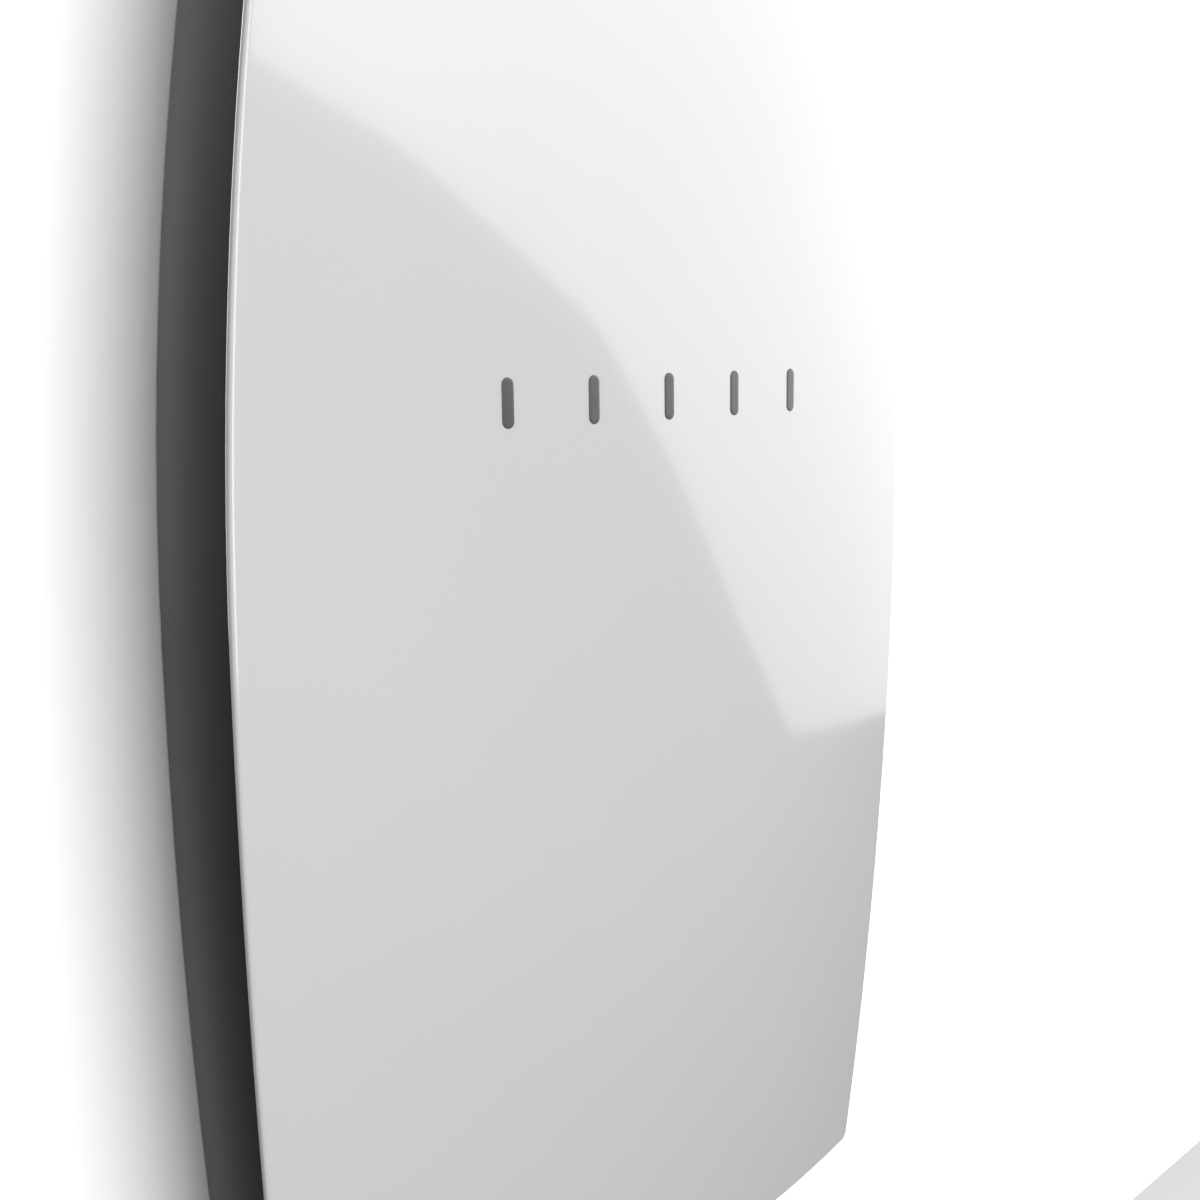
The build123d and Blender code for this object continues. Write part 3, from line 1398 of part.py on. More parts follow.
rocker_face = pocket_depth / 2 + rocker_proud
rocker_rise = rocker_length / 2 - rocker_end_gap
rocker_plane = Plane(
    origin=(
        panel_front - pocket_depth / 2,
        -panel_mid_depth + rocker_width / 2,
        panel_centre_height + rocker_offset,
    ),
    x_dir=(cos(radians(rocker_tilt)), 0, sin(radians(rocker_tilt))),
    z_dir=(0, -1, 0),
)
with BuildPart() as power_rocker:
    with BuildSketch(rocker_plane):
        with BuildLine():
            Polyline(
                (rocker_face, -rocker_rise),
                (rocker_face - rocker_dip, 0),
                (rocker_face, rocker_rise),
                (0, rocker_rise / 2),
                (-rocker_pin_radius - rocker_proud, 0),
                (0, -rocker_rise / 2),
                (rocker_face, -rocker_rise),
            )
        make_face()
        Circle(rocker_pin_radius + running_clearance, mode=Mode.SUBTRACT)
    extrude(amount=rocker_width)
save(power_rocker.part, "power_rocker")

with BuildPart() as status_lens:
    with BuildSketch(panel_side.offset(panel_flange - lens_seat)):
        with Locations((0, lens_offset)):
            Circle(lens_radius)
    extrude(amount=lens_seat + lens_proud)
    fillet(status_lens.faces().group_by(Axis.X)[-1].edges(), lens_round)
save(status_lens.part, "status_lens")
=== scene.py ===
import json
from math import copysign, cos, pi, radians, sin, sqrt
import bmesh
import bpy
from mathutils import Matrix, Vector


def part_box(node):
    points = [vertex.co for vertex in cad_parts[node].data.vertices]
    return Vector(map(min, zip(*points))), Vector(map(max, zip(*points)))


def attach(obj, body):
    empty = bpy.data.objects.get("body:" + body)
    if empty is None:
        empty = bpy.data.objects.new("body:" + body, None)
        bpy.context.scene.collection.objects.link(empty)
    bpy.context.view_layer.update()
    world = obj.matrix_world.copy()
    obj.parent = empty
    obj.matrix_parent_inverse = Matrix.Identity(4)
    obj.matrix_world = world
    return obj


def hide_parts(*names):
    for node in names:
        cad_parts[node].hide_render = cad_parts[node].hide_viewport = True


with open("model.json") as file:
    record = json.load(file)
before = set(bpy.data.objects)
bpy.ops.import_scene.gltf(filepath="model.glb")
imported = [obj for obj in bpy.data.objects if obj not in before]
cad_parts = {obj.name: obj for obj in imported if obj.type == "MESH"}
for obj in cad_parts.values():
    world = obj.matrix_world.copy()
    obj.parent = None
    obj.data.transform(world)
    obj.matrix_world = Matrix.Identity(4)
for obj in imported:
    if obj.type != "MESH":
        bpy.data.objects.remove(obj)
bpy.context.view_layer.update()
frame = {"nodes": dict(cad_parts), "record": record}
print("frame loaded:", len(frame["nodes"]), "nodes")

mm = 0.001


# sRGB hex to the linear values that shaders want
def hexColour(code, alpha=1.0):
    channels = [int(code[i:i + 2], 16) / 255 for i in (1, 3, 5)]
    linear = [c / 12.92 if c <= 0.04045 else ((c + 0.055) / 1.055) ** 2.4 for c in channels]
    return (*linear, alpha)


# adds one node: links maps its inputs to sockets, values maps its inputs to constants
def addNode(tree, kind, links=None, values=None, **settings):
    node = tree.nodes.new(kind)
    for key, value in settings.items():
        setattr(node, key, value)
    for key, value in (values or {}).items():
        node.inputs[key].default_value = value
    for key, socket in (links or {}).items():
        tree.links.new(socket, node.inputs[key])
    return node


# an empty material, and the object-space coordinates its patterns are drawn in
def newMaterial(name):
    material = bpy.data.materials.new(name)
    material.use_nodes = True
    tree = material.node_tree
    tree.nodes.clear()
    return material, tree, addNode(tree, "ShaderNodeTexCoord").outputs["Object"]


# ---- materials; a Mix node set to RGBA has its factor at input 0, its colours at 6 and 7, its result at 2

# ABS, injection moulded then lacquered: a deep even gloss with the faintest orange peel.
# Real peel is finer than shows here, so it is drawn 10 mm across.
lacquerLook = {"white": "#D9DADB", "shade": "#D5D6D8", "cloudMm": 240.0, "rough": (0.1, 0.14),
               "peelMm": 10.0, "peelDepthMm": 0.004, "coat": 0.35, "coatRough": 0.05}


def lacqueredAbs():
    look = lacquerLook
    material, tree, place = newMaterial("lacqueredAbs")
    cloud = addNode(tree, "ShaderNodeTexNoise", {"Vector": place},
                    {"Scale": 1 / (look["cloudMm"] * mm), "Detail": 2.0}).outputs["Fac"]
    peel = addNode(tree, "ShaderNodeTexNoise", {"Vector": place},
                   {"Scale": 1 / (look["peelMm"] * mm), "Detail": 1.5}).outputs["Fac"]
    colour = addNode(tree, "ShaderNodeMix", {0: cloud},
                     {6: hexColour(look["white"]), 7: hexColour(look["shade"])}, data_type="RGBA").outputs[2]
    rough = addNode(tree, "ShaderNodeMapRange", {"Value": cloud},
                    {"To Min": look["rough"][0], "To Max": look["rough"][1]}).outputs["Result"]
    bump = addNode(tree, "ShaderNodeBump", {"Height": peel},
                   {"Distance": look["peelDepthMm"] * mm}).outputs["Normal"]
    shader = addNode(tree, "ShaderNodeBsdfPrincipled",
                     {"Base Color": colour, "Roughness": rough, "Normal": bump},
                     {"IOR": 1.5, "Coat Weight": look["coat"], "Coat Roughness": look["coatRough"]})
    addNode(tree, "ShaderNodeOutputMaterial", {"Surface": shader.outputs["BSDF"]})
    return material


# how far in from an edge the coat is thin, and how far a face has turned where it is thinnest
thinEdge = {"wideMm": 1.5, "samples": 4, "fullAt": 0.8}


# sheet steel, powder coated and baked: pebbly satin skin, thinner and paler along its edges
def powderCoat(name, look):
    material, tree, place = newMaterial(name)
    pebbles = addNode(tree, "ShaderNodeTexNoise", {"Vector": place},
                      {"Scale": 1 / (look["pebbleMm"] * mm), "Detail": 2.5}).outputs["Fac"]
    cloud = addNode(tree, "ShaderNodeTexNoise", {"Vector": place},
                    {"Scale": 1 / (look["cloudMm"] * mm), "Detail": 3.0}).outputs["Fac"]
    body = addNode(tree, "ShaderNodeMix", {0: cloud},
                   {6: hexColour(look["dark"]), 7: hexColour(look["light"])}, data_type="RGBA").outputs[2]
    turned = addNode(tree, "ShaderNodeBevel", values={"Radius": thinEdge["wideMm"] * mm},
                     samples=thinEdge["samples"]).outputs["Normal"]
    flat = addNode(tree, "ShaderNodeNewGeometry").outputs["Normal"]
    match = addNode(tree, "ShaderNodeVectorMath", {0: turned, 1: flat},
                    operation="DOT_PRODUCT").outputs["Value"]
    paleSkin = addNode(tree, "ShaderNodeMapRange", {"Value": match},
                   {"From Min": 1.0, "From Max": thinEdge["fullAt"],
                    "To Max": look["edgeAmount"]}).outputs["Result"]
    colour = addNode(tree, "ShaderNodeMix", {0: paleSkin, 6: body}, {7: hexColour(look["edge"])},
                     data_type="RGBA").outputs[2]
    rough = addNode(tree, "ShaderNodeMapRange", {"Value": pebbles},
                    {"To Min": look["rough"] - 0.08, "To Max": look["rough"] + 0.08}).outputs["Result"]
    bump = addNode(tree, "ShaderNodeBump", {"Height": pebbles},
                   {"Distance": look["pebbleDepthMm"] * mm}).outputs["Normal"]
    shader = addNode(tree, "ShaderNodeBsdfPrincipled",
                     {"Base Color": colour, "Roughness": rough, "Normal": bump},
                     {"IOR": 1.5, "Specular IOR Level": look["shine"]})
    addNode(tree, "ShaderNodeOutputMaterial", {"Surface": shader.outputs["BSDF"]})
    return material


# metals: a cloudy body with fine lines along one direction, from plating, drawing or rolling
def workedMetal(name, look):
    material, tree, place = newMaterial(name)
    stretched = addNode(tree, "ShaderNodeMapping", {"Vector": place},
                        {"Scale": look["stretch"]}).outputs["Vector"]
    lines = addNode(tree, "ShaderNodeTexNoise", {"Vector": stretched},
                    {"Scale": 1 / (look["lineMm"] * mm), "Detail": 4.0, "Roughness": 0.6}).outputs["Fac"]
    cloud = addNode(tree, "ShaderNodeTexNoise", {"Vector": place},
                    {"Scale": 1 / (look["cloudMm"] * mm), "Detail": 4.0}).outputs["Fac"]
    spread = addNode(tree, "ShaderNodeMapRange", {"Value": cloud},
                     {"From Min": 0.3, "From Max": 0.7}).outputs["Result"]
    colour = addNode(tree, "ShaderNodeMix", {0: spread},
                     {6: hexColour(look["pale"]), 7: hexColour(look["dark"])}, data_type="RGBA").outputs[2]
    rough = addNode(tree, "ShaderNodeMapRange", {"Value": lines},
                    {"From Min": 0.3, "From Max": 0.7, "To Min": look["rough"] - 0.1,
                     "To Max": look["rough"] + 0.1}).outputs["Result"]
    bump = addNode(tree, "ShaderNodeBump", {"Height": lines},
                   {"Distance": look["lineDepthMm"] * mm}).outputs["Normal"]
    shader = addNode(tree, "ShaderNodeBsdfPrincipled",
                     {"Base Color": colour, "Roughness": rough, "Normal": bump}, {"Metallic": 1.0})
    addNode(tree, "ShaderNodeOutputMaterial", {"Surface": shader.outputs["BSDF"]})
    return material


# moulded plastics: a fine eroded skin over an even colour, slightly cloudy where it cooled
def mouldedPlastic(name, look):
    material, tree, place = newMaterial(name)
    skin = addNode(tree, "ShaderNodeTexNoise", {"Vector": place},
                   {"Scale": 1 / (look["grainMm"] * mm), "Detail": 3.0}).outputs["Fac"]
    cloud = addNode(tree, "ShaderNodeTexNoise", {"Vector": place},
                    {"Scale": 1 / (look.get("cloudMm", 50.0) * mm), "Detail": 3.0}).outputs["Fac"]
    spread = addNode(tree, "ShaderNodeMapRange", {"Value": cloud},
                     {"From Min": 0.3, "From Max": 0.7}).outputs["Result"]
    colour = addNode(tree, "ShaderNodeMix", {0: spread},
                     {6: hexColour(look["first"]), 7: hexColour(look["second"])},
                     data_type="RGBA").outputs[2]
    rough = addNode(tree, "ShaderNodeMapRange", {"Value": skin},
                    {"From Min": 0.3, "From Max": 0.7, "To Min": look["rough"] - 0.06,
                     "To Max": look["rough"] + 0.1}).outputs["Result"]
    bump = addNode(tree, "ShaderNodeBump", {"Height": skin},
                   {"Distance": look["grainDepthMm"] * mm}).outputs["Normal"]
    shader = addNode(tree, "ShaderNodeBsdfPrincipled",
                     {"Base Color": colour, "Roughness": rough, "Normal": bump},
                     {"IOR": 1.53, **look.get("more", {})})
    addNode(tree, "ShaderNodeOutputMaterial", {"Surface": shader.outputs["BSDF"]})
    return material


# EPDM rubber, foamed: matte black with open fine pores, painted darker down in each pore as painted shade
rubberLook = {"poreMm": 0.9, "poreDepthMm": 0.12, "deep": "#121212", "paleSkin": "#26272A", "patchMm": 24.0,
              "rough": (0.68, 0.95), "sheen": 0.15}


def foamedRubber():
    look = rubberLook
    material, tree, place = newMaterial("foamedRubber")
    pores = addNode(tree, "ShaderNodeTexVoronoi", {"Vector": place},
                    {"Scale": 1 / (look["poreMm"] * mm)}).outputs["Distance"]
    patches = addNode(tree, "ShaderNodeTexNoise", {"Vector": place},
                      {"Scale": 1 / (look["patchMm"] * mm)}).outputs["Fac"]
    # painted shade: the colour runs to the deep tone where the bump sinks the pores, and to the paler rubber
    # on the skin between them
    colour = addNode(tree, "ShaderNodeMix", {0: pores},
                     {6: hexColour(look["deep"]), 7: hexColour(look["paleSkin"])}, data_type="RGBA").outputs[2]
    rough = addNode(tree, "ShaderNodeMapRange", {"Value": patches},
                    {"To Min": look["rough"][0], "To Max": look["rough"][1]}).outputs["Result"]
    bump = addNode(tree, "ShaderNodeBump", {"Height": pores},
                   {"Distance": look["poreDepthMm"] * mm}).outputs["Normal"]
    shader = addNode(tree, "ShaderNodeBsdfPrincipled",
                     {"Base Color": colour, "Roughness": rough, "Normal": bump},
                     {"IOR": 1.47, "Sheen Weight": look["sheen"]})
    addNode(tree, "ShaderNodeOutputMaterial", {"Surface": shader.outputs["BSDF"]})
    return material


# glass-fibre laminate under solder mask: green, with copper tracks showing through as ridges
boardLook = {"mask": "#0E4A2C", "track": "#2C7A4C", "cellMm": 30.0, "trackShare": 0.018,
             "trackDepthMm": 0.04, "patchMm": 12.0, "rough": (0.25, 0.45), "coat": 0.3, "coatRough": 0.2}


def solderMask():
    look = boardLook
    material, tree, place = newMaterial("solderMask")
    upright = addNode(tree, "ShaderNodeMapping", {"Vector": place},
                      {"Rotation": (pi / 2, 0, 0)}).outputs["Vector"]
    tracks = addNode(tree, "ShaderNodeTexBrick", {"Vector": upright},
                     {"Scale": 1 / (look["cellMm"] * mm), "Mortar Size": look["trackShare"],
                      "Mortar Smooth": 0.2, "Brick Width": 0.6, "Row Height": 0.12}).outputs["Fac"]
    cloud = addNode(tree, "ShaderNodeTexNoise", {"Vector": place},
                    {"Scale": 1 / (look["patchMm"] * mm)}).outputs["Fac"]
    colour = addNode(tree, "ShaderNodeMix", {0: tracks},
                     {6: hexColour(look["mask"]), 7: hexColour(look["track"])}, data_type="RGBA").outputs[2]
    rough = addNode(tree, "ShaderNodeMapRange", {"Value": cloud},
                    {"To Min": look["rough"][0], "To Max": look["rough"][1]}).outputs["Result"]
    bump = addNode(tree, "ShaderNodeBump", {"Height": tracks},
                   {"Distance": look["trackDepthMm"] * mm}).outputs["Normal"]
    shader = addNode(tree, "ShaderNodeBsdfPrincipled",
                     {"Base Color": colour, "Roughness": rough, "Normal": bump},
                     {"IOR": 1.55, "Coat Weight": look["coat"], "Coat Roughness": look["coatRough"]})
    addNode(tree, "ShaderNodeOutputMaterial", {"Surface": shader.outputs["BSDF"]})
    return material


# what each slot is made of, and what a user would change about it
finishes = {
    "cover_lacquer": lacqueredAbs(),
    "seal_rubber": foamedRubber(),
    "board_laminate": solderMask(),
    # powder coats: satin graphite on the casing, near black on the lid, harder and greyer on the bracket
    "casing_coat": powderCoat("graphitePowderCoat", {
        "dark": "#343536", "light": "#3A3B3C", "edge": "#5A5C5E", "edgeAmount": 0.35, "rough": 0.46,
        "shine": 0.35, "pebbleMm": 2.4, "pebbleDepthMm": 0.035, "cloudMm": 180.0}),
    "lid_coat": powderCoat("lidPowderCoat", {
        "dark": "#262728", "light": "#2C2D2E", "edge": "#4A4C4F", "edgeAmount": 0.4, "rough": 0.55,
        "shine": 0.4, "pebbleMm": 2.8, "pebbleDepthMm": 0.05, "cloudMm": 180.0}),
    "bracket_steel": powderCoat("bracketPowderCoat", {
        "dark": "#2E3033", "light": "#37393C", "edge": "#6A6C70", "edgeAmount": 0.5, "rough": 0.48,
        "shine": 0.5, "pebbleMm": 2.2, "pebbleDepthMm": 0.05, "cloudMm": 120.0}),
    # zinc plated in a barrel, so cloudy with no direction
    "zinc_steel": workedMetal("barrelPlatedZinc", {
        "pale": "#B9BBB8", "dark": "#D2D0C6", "stretch": (1, 1, 1), "lineMm": 0.5, "lineDepthMm": 0.01,
        "cloudMm": 8.0, "rough": 0.32}),
    # rolled sheet and extrusions, left as made: long drawn lines
    "alloy_sheet": workedMetal("rolledAluminium", {
        "pale": "#C9CBCE", "dark": "#B4B6BA", "stretch": (1, 1, 14), "lineMm": 2.4, "lineDepthMm": 0.015,
        "cloudMm": 80.0, "rough": 0.34}),
    # rolled copper bar, tarnished a little by handling
    "copper_bar": workedMetal("rolledCopper", {
        "pale": "#D98F6A", "dark": "#B06A48", "stretch": (1, 1, 6), "lineMm": 0.8, "lineDepthMm": 0.01,
        "cloudMm": 18.0, "rough": 0.35}),
    # PC-ABS inlay with a spark-eroded skin: dark grey, soft sheen
    "mark_grey": mouldedPlastic("erodedInlay", {
        "first": "#4A4B4D", "second": "#545557", "rough": 0.42, "grainMm": 1.0, "grainDepthMm": 0.03}),
    "black_nylon": mouldedPlastic("glassFilledNylon", {
        "first": "#1C1D1F", "second": "#25262A", "rough": 0.5, "grainMm": 1.6, "grainDepthMm": 0.04}),
    "white_nylon": mouldedPlastic("naturalNylon", {
        "first": "#D9D6CB", "second": "#C9C6BA", "rough": 0.38, "grainMm": 1.2, "grainDepthMm": 0.025,
        "more": {"Subsurface Weight": 0.1, "Subsurface Radius": (0.002, 0.002, 0.0015)}}),
    "cell_sleeve": mouldedPlastic("heatShrinkSleeve", {
        "first": "#27507C", "second": "#1F426A", "rough": 0.3, "grainMm": 3.0, "grainDepthMm": 0.02}),
    "cap_plastic": mouldedPlastic("insulatingCap", {
        "first": "#2C2D30", "second": "#343539", "rough": 0.4, "grainMm": 1.4, "grainDepthMm": 0.03}),
    "ferrite_grey": mouldedPlastic("sinteredFerrite", {
        "first": "#4A4A4D", "second": "#3B3B3E", "rough": 0.62, "grainMm": 1.0, "grainDepthMm": 0.06}),
    "can_sleeve": mouldedPlastic("shrunkCanSleeve", {
        "first": "#20263C", "second": "#1A2033", "rough": 0.25, "grainMm": 4.0, "grainDepthMm": 0.01}),
    "coil_orange": mouldedPlastic("orangeInsulation", {
        "first": "#D96A1C", "second": "#C55B13", "rough": 0.42, "grainMm": 1.2, "grainDepthMm": 0.025}),
    "tank_plastic": mouldedPlastic("blownPolyethylene", {
        "first": "#D8DAD2", "second": "#C6C9BF", "rough": 0.36, "grainMm": 6.0, "grainDepthMm": 0.03,
        "more": {"Subsurface Weight": 0.25, "Subsurface Radius": (0.006, 0.006, 0.005)}}),
    "control_plastic": mouldedPlastic("texturedControlPlastic", {
        "first": "#2A2B2D", "second": "#313235", "rough": 0.46, "grainMm": 1.0, "grainDepthMm": 0.04}),
    "lever_red": mouldedPlastic("redNylonLever", {
        "first": "#A81E18", "second": "#931813", "rough": 0.4, "grainMm": 1.2, "grainDepthMm": 0.03}),
    # polycarbonate lens with a frosted back: milky green, lit softly from within
    "lens_clear": mouldedPlastic("frostedLens", {
        "first": "#BFEFD0", "second": "#A4E2BB", "rough": 0.26, "grainMm": 3.0, "grainDepthMm": 0.01,
        "cloudMm": 3.0, "more": {"Transmission Weight": 0.35, "Emission Color": hexColour("#8FE8A8"),
                                 "Emission Strength": 0.6}}),
}
print("materials made:", len(finishes))

nodeSlot = {part["node"]: part["material_slot"] for part in frame["record"]["subparts"]}


# gives a piece its material, body and slot, and hides the CAD nodes it stands for
def dress(piece, slot, body, *nodes):
    piece.data.materials.clear()
    piece.data.materials.append(finishes[slot])
    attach(piece, body)
    if nodes:
        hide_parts(*nodes)
    return piece


def newPiece(name, vertices, faces):
    mesh = bpy.data.meshes.new(name)
    mesh.from_pydata(vertices, [], faces)
    mesh.validate()
    mesh.polygons.foreach_set("use_smooth", [True] * len(mesh.polygons))
    piece = bpy.data.objects.new(name, mesh)
    bpy.context.scene.collection.objects.link(piece)
    return piece


def faceOutward(piece):
    work = bmesh.new()
    work.from_mesh(piece.data)
    bmesh.ops.recalc_face_normals(work, faces=work.faces)
    work.to_mesh(piece.data)
    work.free()
    piece.data.set_sharp_from_angle(angle=radians(50))
    return piece


# ---- front cover: a pillow-shaped shield with a rolled rim
coverShape = {"topTaperMm": 54.0, "bottomTaperMm": 35.0, "widestMm": 60.0, "acrossMm": 45.0, "alongMm": 20.0,
              "cornerMm": 9.0, "rimRoundMm": 2.6, "rimDeepMm": 7.0, "skinMm": 4.0, "rimWideMm": 5.0,
              "lipMm": 0.8, "columns": 120, "rows": 180, "roundSteps": 6, "crowding": 0.47}
coverLow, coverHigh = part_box("front_cover")
halfWide = (coverHigh.x - coverLow.x) / 2
halfTall = (coverHigh.z - coverLow.z) / 2
frontDepth = -coverLow.y
widest = coverShape["widestMm"] * mm
acrossRadius = (halfWide ** 2 + (coverShape["acrossMm"] * mm) ** 2) / (2 * coverShape["acrossMm"] * mm)
alongRadius = (halfTall ** 2 + (coverShape["alongMm"] * mm) ** 2) / (2 * coverShape["alongMm"] * mm)


# half the outline's width at a height, drawn in by an inset
def outlineHalf(z, inset=0.0):
    taper = coverShape["topTaperMm" if z > widest else "bottomTaperMm"] * mm
    rise = halfTall - inset + (-widest if z > widest else widest)
    radius = (rise ** 2 + taper ** 2) / (2 * taper)
    return halfWide - inset - radius + sqrt(radius ** 2 - (z - widest) ** 2)


# the cover's front, as a place on the Y axis
def skinY(x, z):
    across = acrossRadius - sqrt(acrossRadius ** 2 - x * x)
    return -(frontDepth - alongRadius + sqrt((alongRadius - across) ** 2 - (z - widest) ** 2))


# places from -1 to 1, crowded towards both ends where the outline turns
def crowded(step, steps):
    return sin((step / steps - 0.5) * 2 * pi * coverShape["crowding"]) / sin(pi * coverShape["crowding"])


# one sheet of grid points inside the outline, with its four corners rounded
def shieldGrid(inset, corner):
    columns, rows = coverShape["columns"], coverShape["rows"]
    points = []
    for j in range(rows + 1):
        z = crowded(j, rows) * (halfTall - inset)
        for i in range(columns + 1):
            half = outlineHalf(z, inset)
            x = crowded(i, columns) * half
            p = (corner - (half - abs(x))) / corner
            q = (corner - (halfTall - inset - abs(z))) / corner
            zMoved = z
            if p > 0 and q > 0:
                x = copysign(half - corner + corner * p * sqrt(1 - q * q / 2), x)
                zMoved = copysign(halfTall - inset - corner + corner * q * sqrt(1 - p * p / 2), z)
            points.append((x, zMoved))
    return points


# the grid's outer points in order, once round
def gridBorder():
    columns, rows = coverShape["columns"], coverShape["rows"]
    width = columns + 1
    border = list(range(columns))
    border += [columns + j * width for j in range(rows)]
    border += [rows * width + i for i in range(columns, 0, -1)]
    border += [j * width for j in range(rows, 0, -1)]
    return border


def frontCover():
    shape = coverShape
    columns, rows = shape["columns"], shape["rows"]
    roundR = shape["rimRoundMm"] * mm
    wide = shape["rimWideMm"] * mm
    front = shieldGrid(roundR, shape["cornerMm"] * mm - roundR)
    back = shieldGrid(wide, shape["cornerMm"] * mm - wide)
    vertices = [(x, skinY(x, z), z) for x, z in front]
    border = gridBorder()
    count = len(border)
    ring = []
    for k, index in enumerate(border):
        before = front[border[k - 1]]
        after = front[border[(k + 1) % count]]
        dx, dz = after[0] - before[0], after[1] - before[1]
        size = sqrt(dx * dx + dz * dz)
        ring.append((front[index], (dz / size, -dx / size)))
    # profile of the rim: out past the front's edge and back, round, straight, round again
    steps = shape["roundSteps"]
    deep = shape["rimDeepMm"] * mm
    lip = shape["lipMm"] * mm
    angles = [pi / 2 * k / steps for k in range(1, steps + 1)]
    profile = [(roundR * sin(a), roundR * (1 - cos(a))) for a in angles]
    profile += [(roundR, deep - lip), (roundR - lip * 0.3, deep - lip * 0.3), (roundR - lip, deep)]
    profile += [(roundR - wide + lip, deep), (roundR - wide + lip * 0.2, deep - lip * 0.3)]
    faces = []
    for j in range(rows):
        for i in range(columns):
            a = j * (columns + 1) + i
            faces.append((a, a + 1, a + columns + 2, a + columns + 1))
    previous = border
    for out, down in profile:
        start = len(vertices)
        for (x, z), (nx, nz) in ring:
            px, pz = x + nx * out, z + nz * out
            vertices.append((px, skinY(px, pz) + down, pz))
        current = [start + k for k in range(count)]
        for k in range(count):
            n = (k + 1) % count
            faces.append((previous[k], previous[n], current[n], current[k])[::-1])
        previous = current
    start = len(vertices)
    skin = shape["skinMm"] * mm
    vertices += [(x, skinY(x, z) + skin, z) for x, z in back]
    for j in range(rows):
        for i in range(columns):
            a = start + j * (columns + 1) + i
            faces.append((a, a + columns + 1, a + columns + 2, a + 1))
    inner = [start + index for index in border]
    for k in range(count):
        n = (k + 1) % count
        faces.append((previous[k], previous[n], inner[n], inner[k])[::-1])
    return faceOutward(newPiece("coverShell", vertices, faces))


cover = dress(frontCover(), "cover_lacquer", "front_cover", "front_cover")
print("front cover made")

# ---- charge marks: five plain upright bars set into the cover
markShape = {"tallMm": 42.0, "wideMm": 12.0, "pitchMm": 93.5, "count": 5, "liftMm": 0.8,
             "sunkMm": 0.4, "roundMm": 0.5, "endSteps": 12}


def chargeMarks():
    shape = markShape
    low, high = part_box("charge_marks")
    middle = (low.z + high.z) / 2
    radius = shape["wideMm"] * mm / 2
    straight = shape["tallMm"] * mm / 2 - radius
    loop = []
    for end in (1, -1):
        for k in range(shape["endSteps"] + 1):
            a = pi * k / shape["endSteps"]
            loop.append((end * cos(a), end * sin(a), end * straight))
    vertices, faces = [], []
    lift, soft = shape["liftMm"] * mm, shape["roundMm"] * mm
    # each ring: how far in from the outline, how far out from the cover
    rings = [(0, -shape["sunkMm"] * mm), (0, lift - soft), (soft * 0.3, lift - soft * 0.3), (soft, lift),
             (radius * 0.5, lift)]
    for number in range(shape["count"]):
        centre = (number - (shape["count"] - 1) / 2) * shape["pitchMm"] * mm
        previous = None
        for inset, out in rings:
            start = len(vertices)
            for dx, dz, base in loop:
                x = centre + dx * (radius - inset)
                z = middle + base + dz * (radius - inset)
                vertices.append((x, skinY(x, z) - out, z))
            current = list(range(start, len(vertices)))
            if previous:
                for k in range(len(current)):
                    n = (k + 1) % len(current)
                    faces.append((previous[k], previous[n], current[n], current[k]))
            previous = current
        faces.append(tuple(previous))
        first = start - len(loop) * (len(rings) - 1)
        faces.append(tuple(reversed(range(first, first + len(loop)))))
    return faceOutward(newPiece("chargeMarks", vertices, faces))


dress(chargeMarks(), "mark_grey", "front_cover", "charge_marks")
print("charge marks made")

# ---- carried-over parts: welded, edges broken, shaded smooth
edgeBreakMm = {
    "rear_casing": 0.9, "control_panel": 0.4, "isolator_lever": 0.5, "power_rocker": 0.5,
    "wall_bracket": 0.5, "hanger_rails": 0.4, "cable_glands": 0.4, "casing_lid": 0.6, "lid_screws": 0.25,
    "pump_housing": 0.5,
    "converter_heat_sink": 0.3, "contactors": 0.8, "pyro_fuse": 0.5, "terminal_block": 0.5, "fan_frame": 0.6,
    "fan_rotor": 0.3, "module_tray_upper": 0.4, "module_tray_lower": 0.4, "cells_upper": 0.8,
    "cells_lower": 0.8, "bus_bars_upper": 0.3, "bus_bars_lower": 0.3, "board_connectors": 0.4,
    "current_sensor": 0.5, "high_voltage_links": 0.3, "radiator_tanks": 0.6, "reservoir_cap": 0.4,
    "gland_nuts": 0.3, "coolant_manifolds": 0.3, "pump_motor": 0.4, "pump_lid": 0.4, "cover_clips": 0.3,
}
cleaning = {"weldMm": 0.01, "flatDegrees": 0.4, "breakSegments": 2, "breakDegrees": 40, "sharpDegrees": 20}
bodies = frame["record"]["behaviour"]["bodies"]
nodeBody = {node: body for body, members in bodies.items() for node in members}


# the mesh that the piece's modifiers give, kept as its own
def modified(piece):
    bpy.context.view_layer.update()
    mesh = bpy.data.meshes.new_from_object(piece.evaluated_get(bpy.context.evaluated_depsgraph_get()))
    piece.modifiers.clear()
    piece.data = mesh
    return mesh


def finishedCopy(node, widthMm):
    source = frame["nodes"][node]
    work = bmesh.new()
    work.from_mesh(source.data)
    bmesh.ops.remove_doubles(work, verts=work.verts, dist=cleaning["weldMm"] * mm)
    bmesh.ops.dissolve_limit(work, angle_limit=radians(cleaning["flatDegrees"]), verts=work.verts,
                             edges=work.edges)
    mesh = bpy.data.meshes.new(node + ".finished")
    work.to_mesh(mesh)
    work.free()
    piece = bpy.data.objects.new(node + ".finished", mesh)
    bpy.context.scene.collection.objects.link(piece)
    bevel = piece.modifiers.new("edgeBreak", "BEVEL")
    bevel.width = widthMm * mm
    bevel.segments = cleaning["breakSegments"]
    bevel.limit_method = "ANGLE"
    bevel.angle_limit = radians(cleaning["breakDegrees"])
    bevel.use_clamp_overlap = True
    mesh = modified(piece)
    mesh.polygons.foreach_set("use_smooth", [True] * len(mesh.polygons))
    mesh.set_sharp_from_angle(angle=radians(cleaning["sharpDegrees"]))
    # the large flat faces keep their own normals, and only the broken edges turn
    flat = piece.modifiers.new("flatFaces", "WEIGHTED_NORMAL")
    flat.mode = "FACE_AREA"
    flat.weight = 100
    flat.keep_sharp = True
    modified(piece)
    return piece


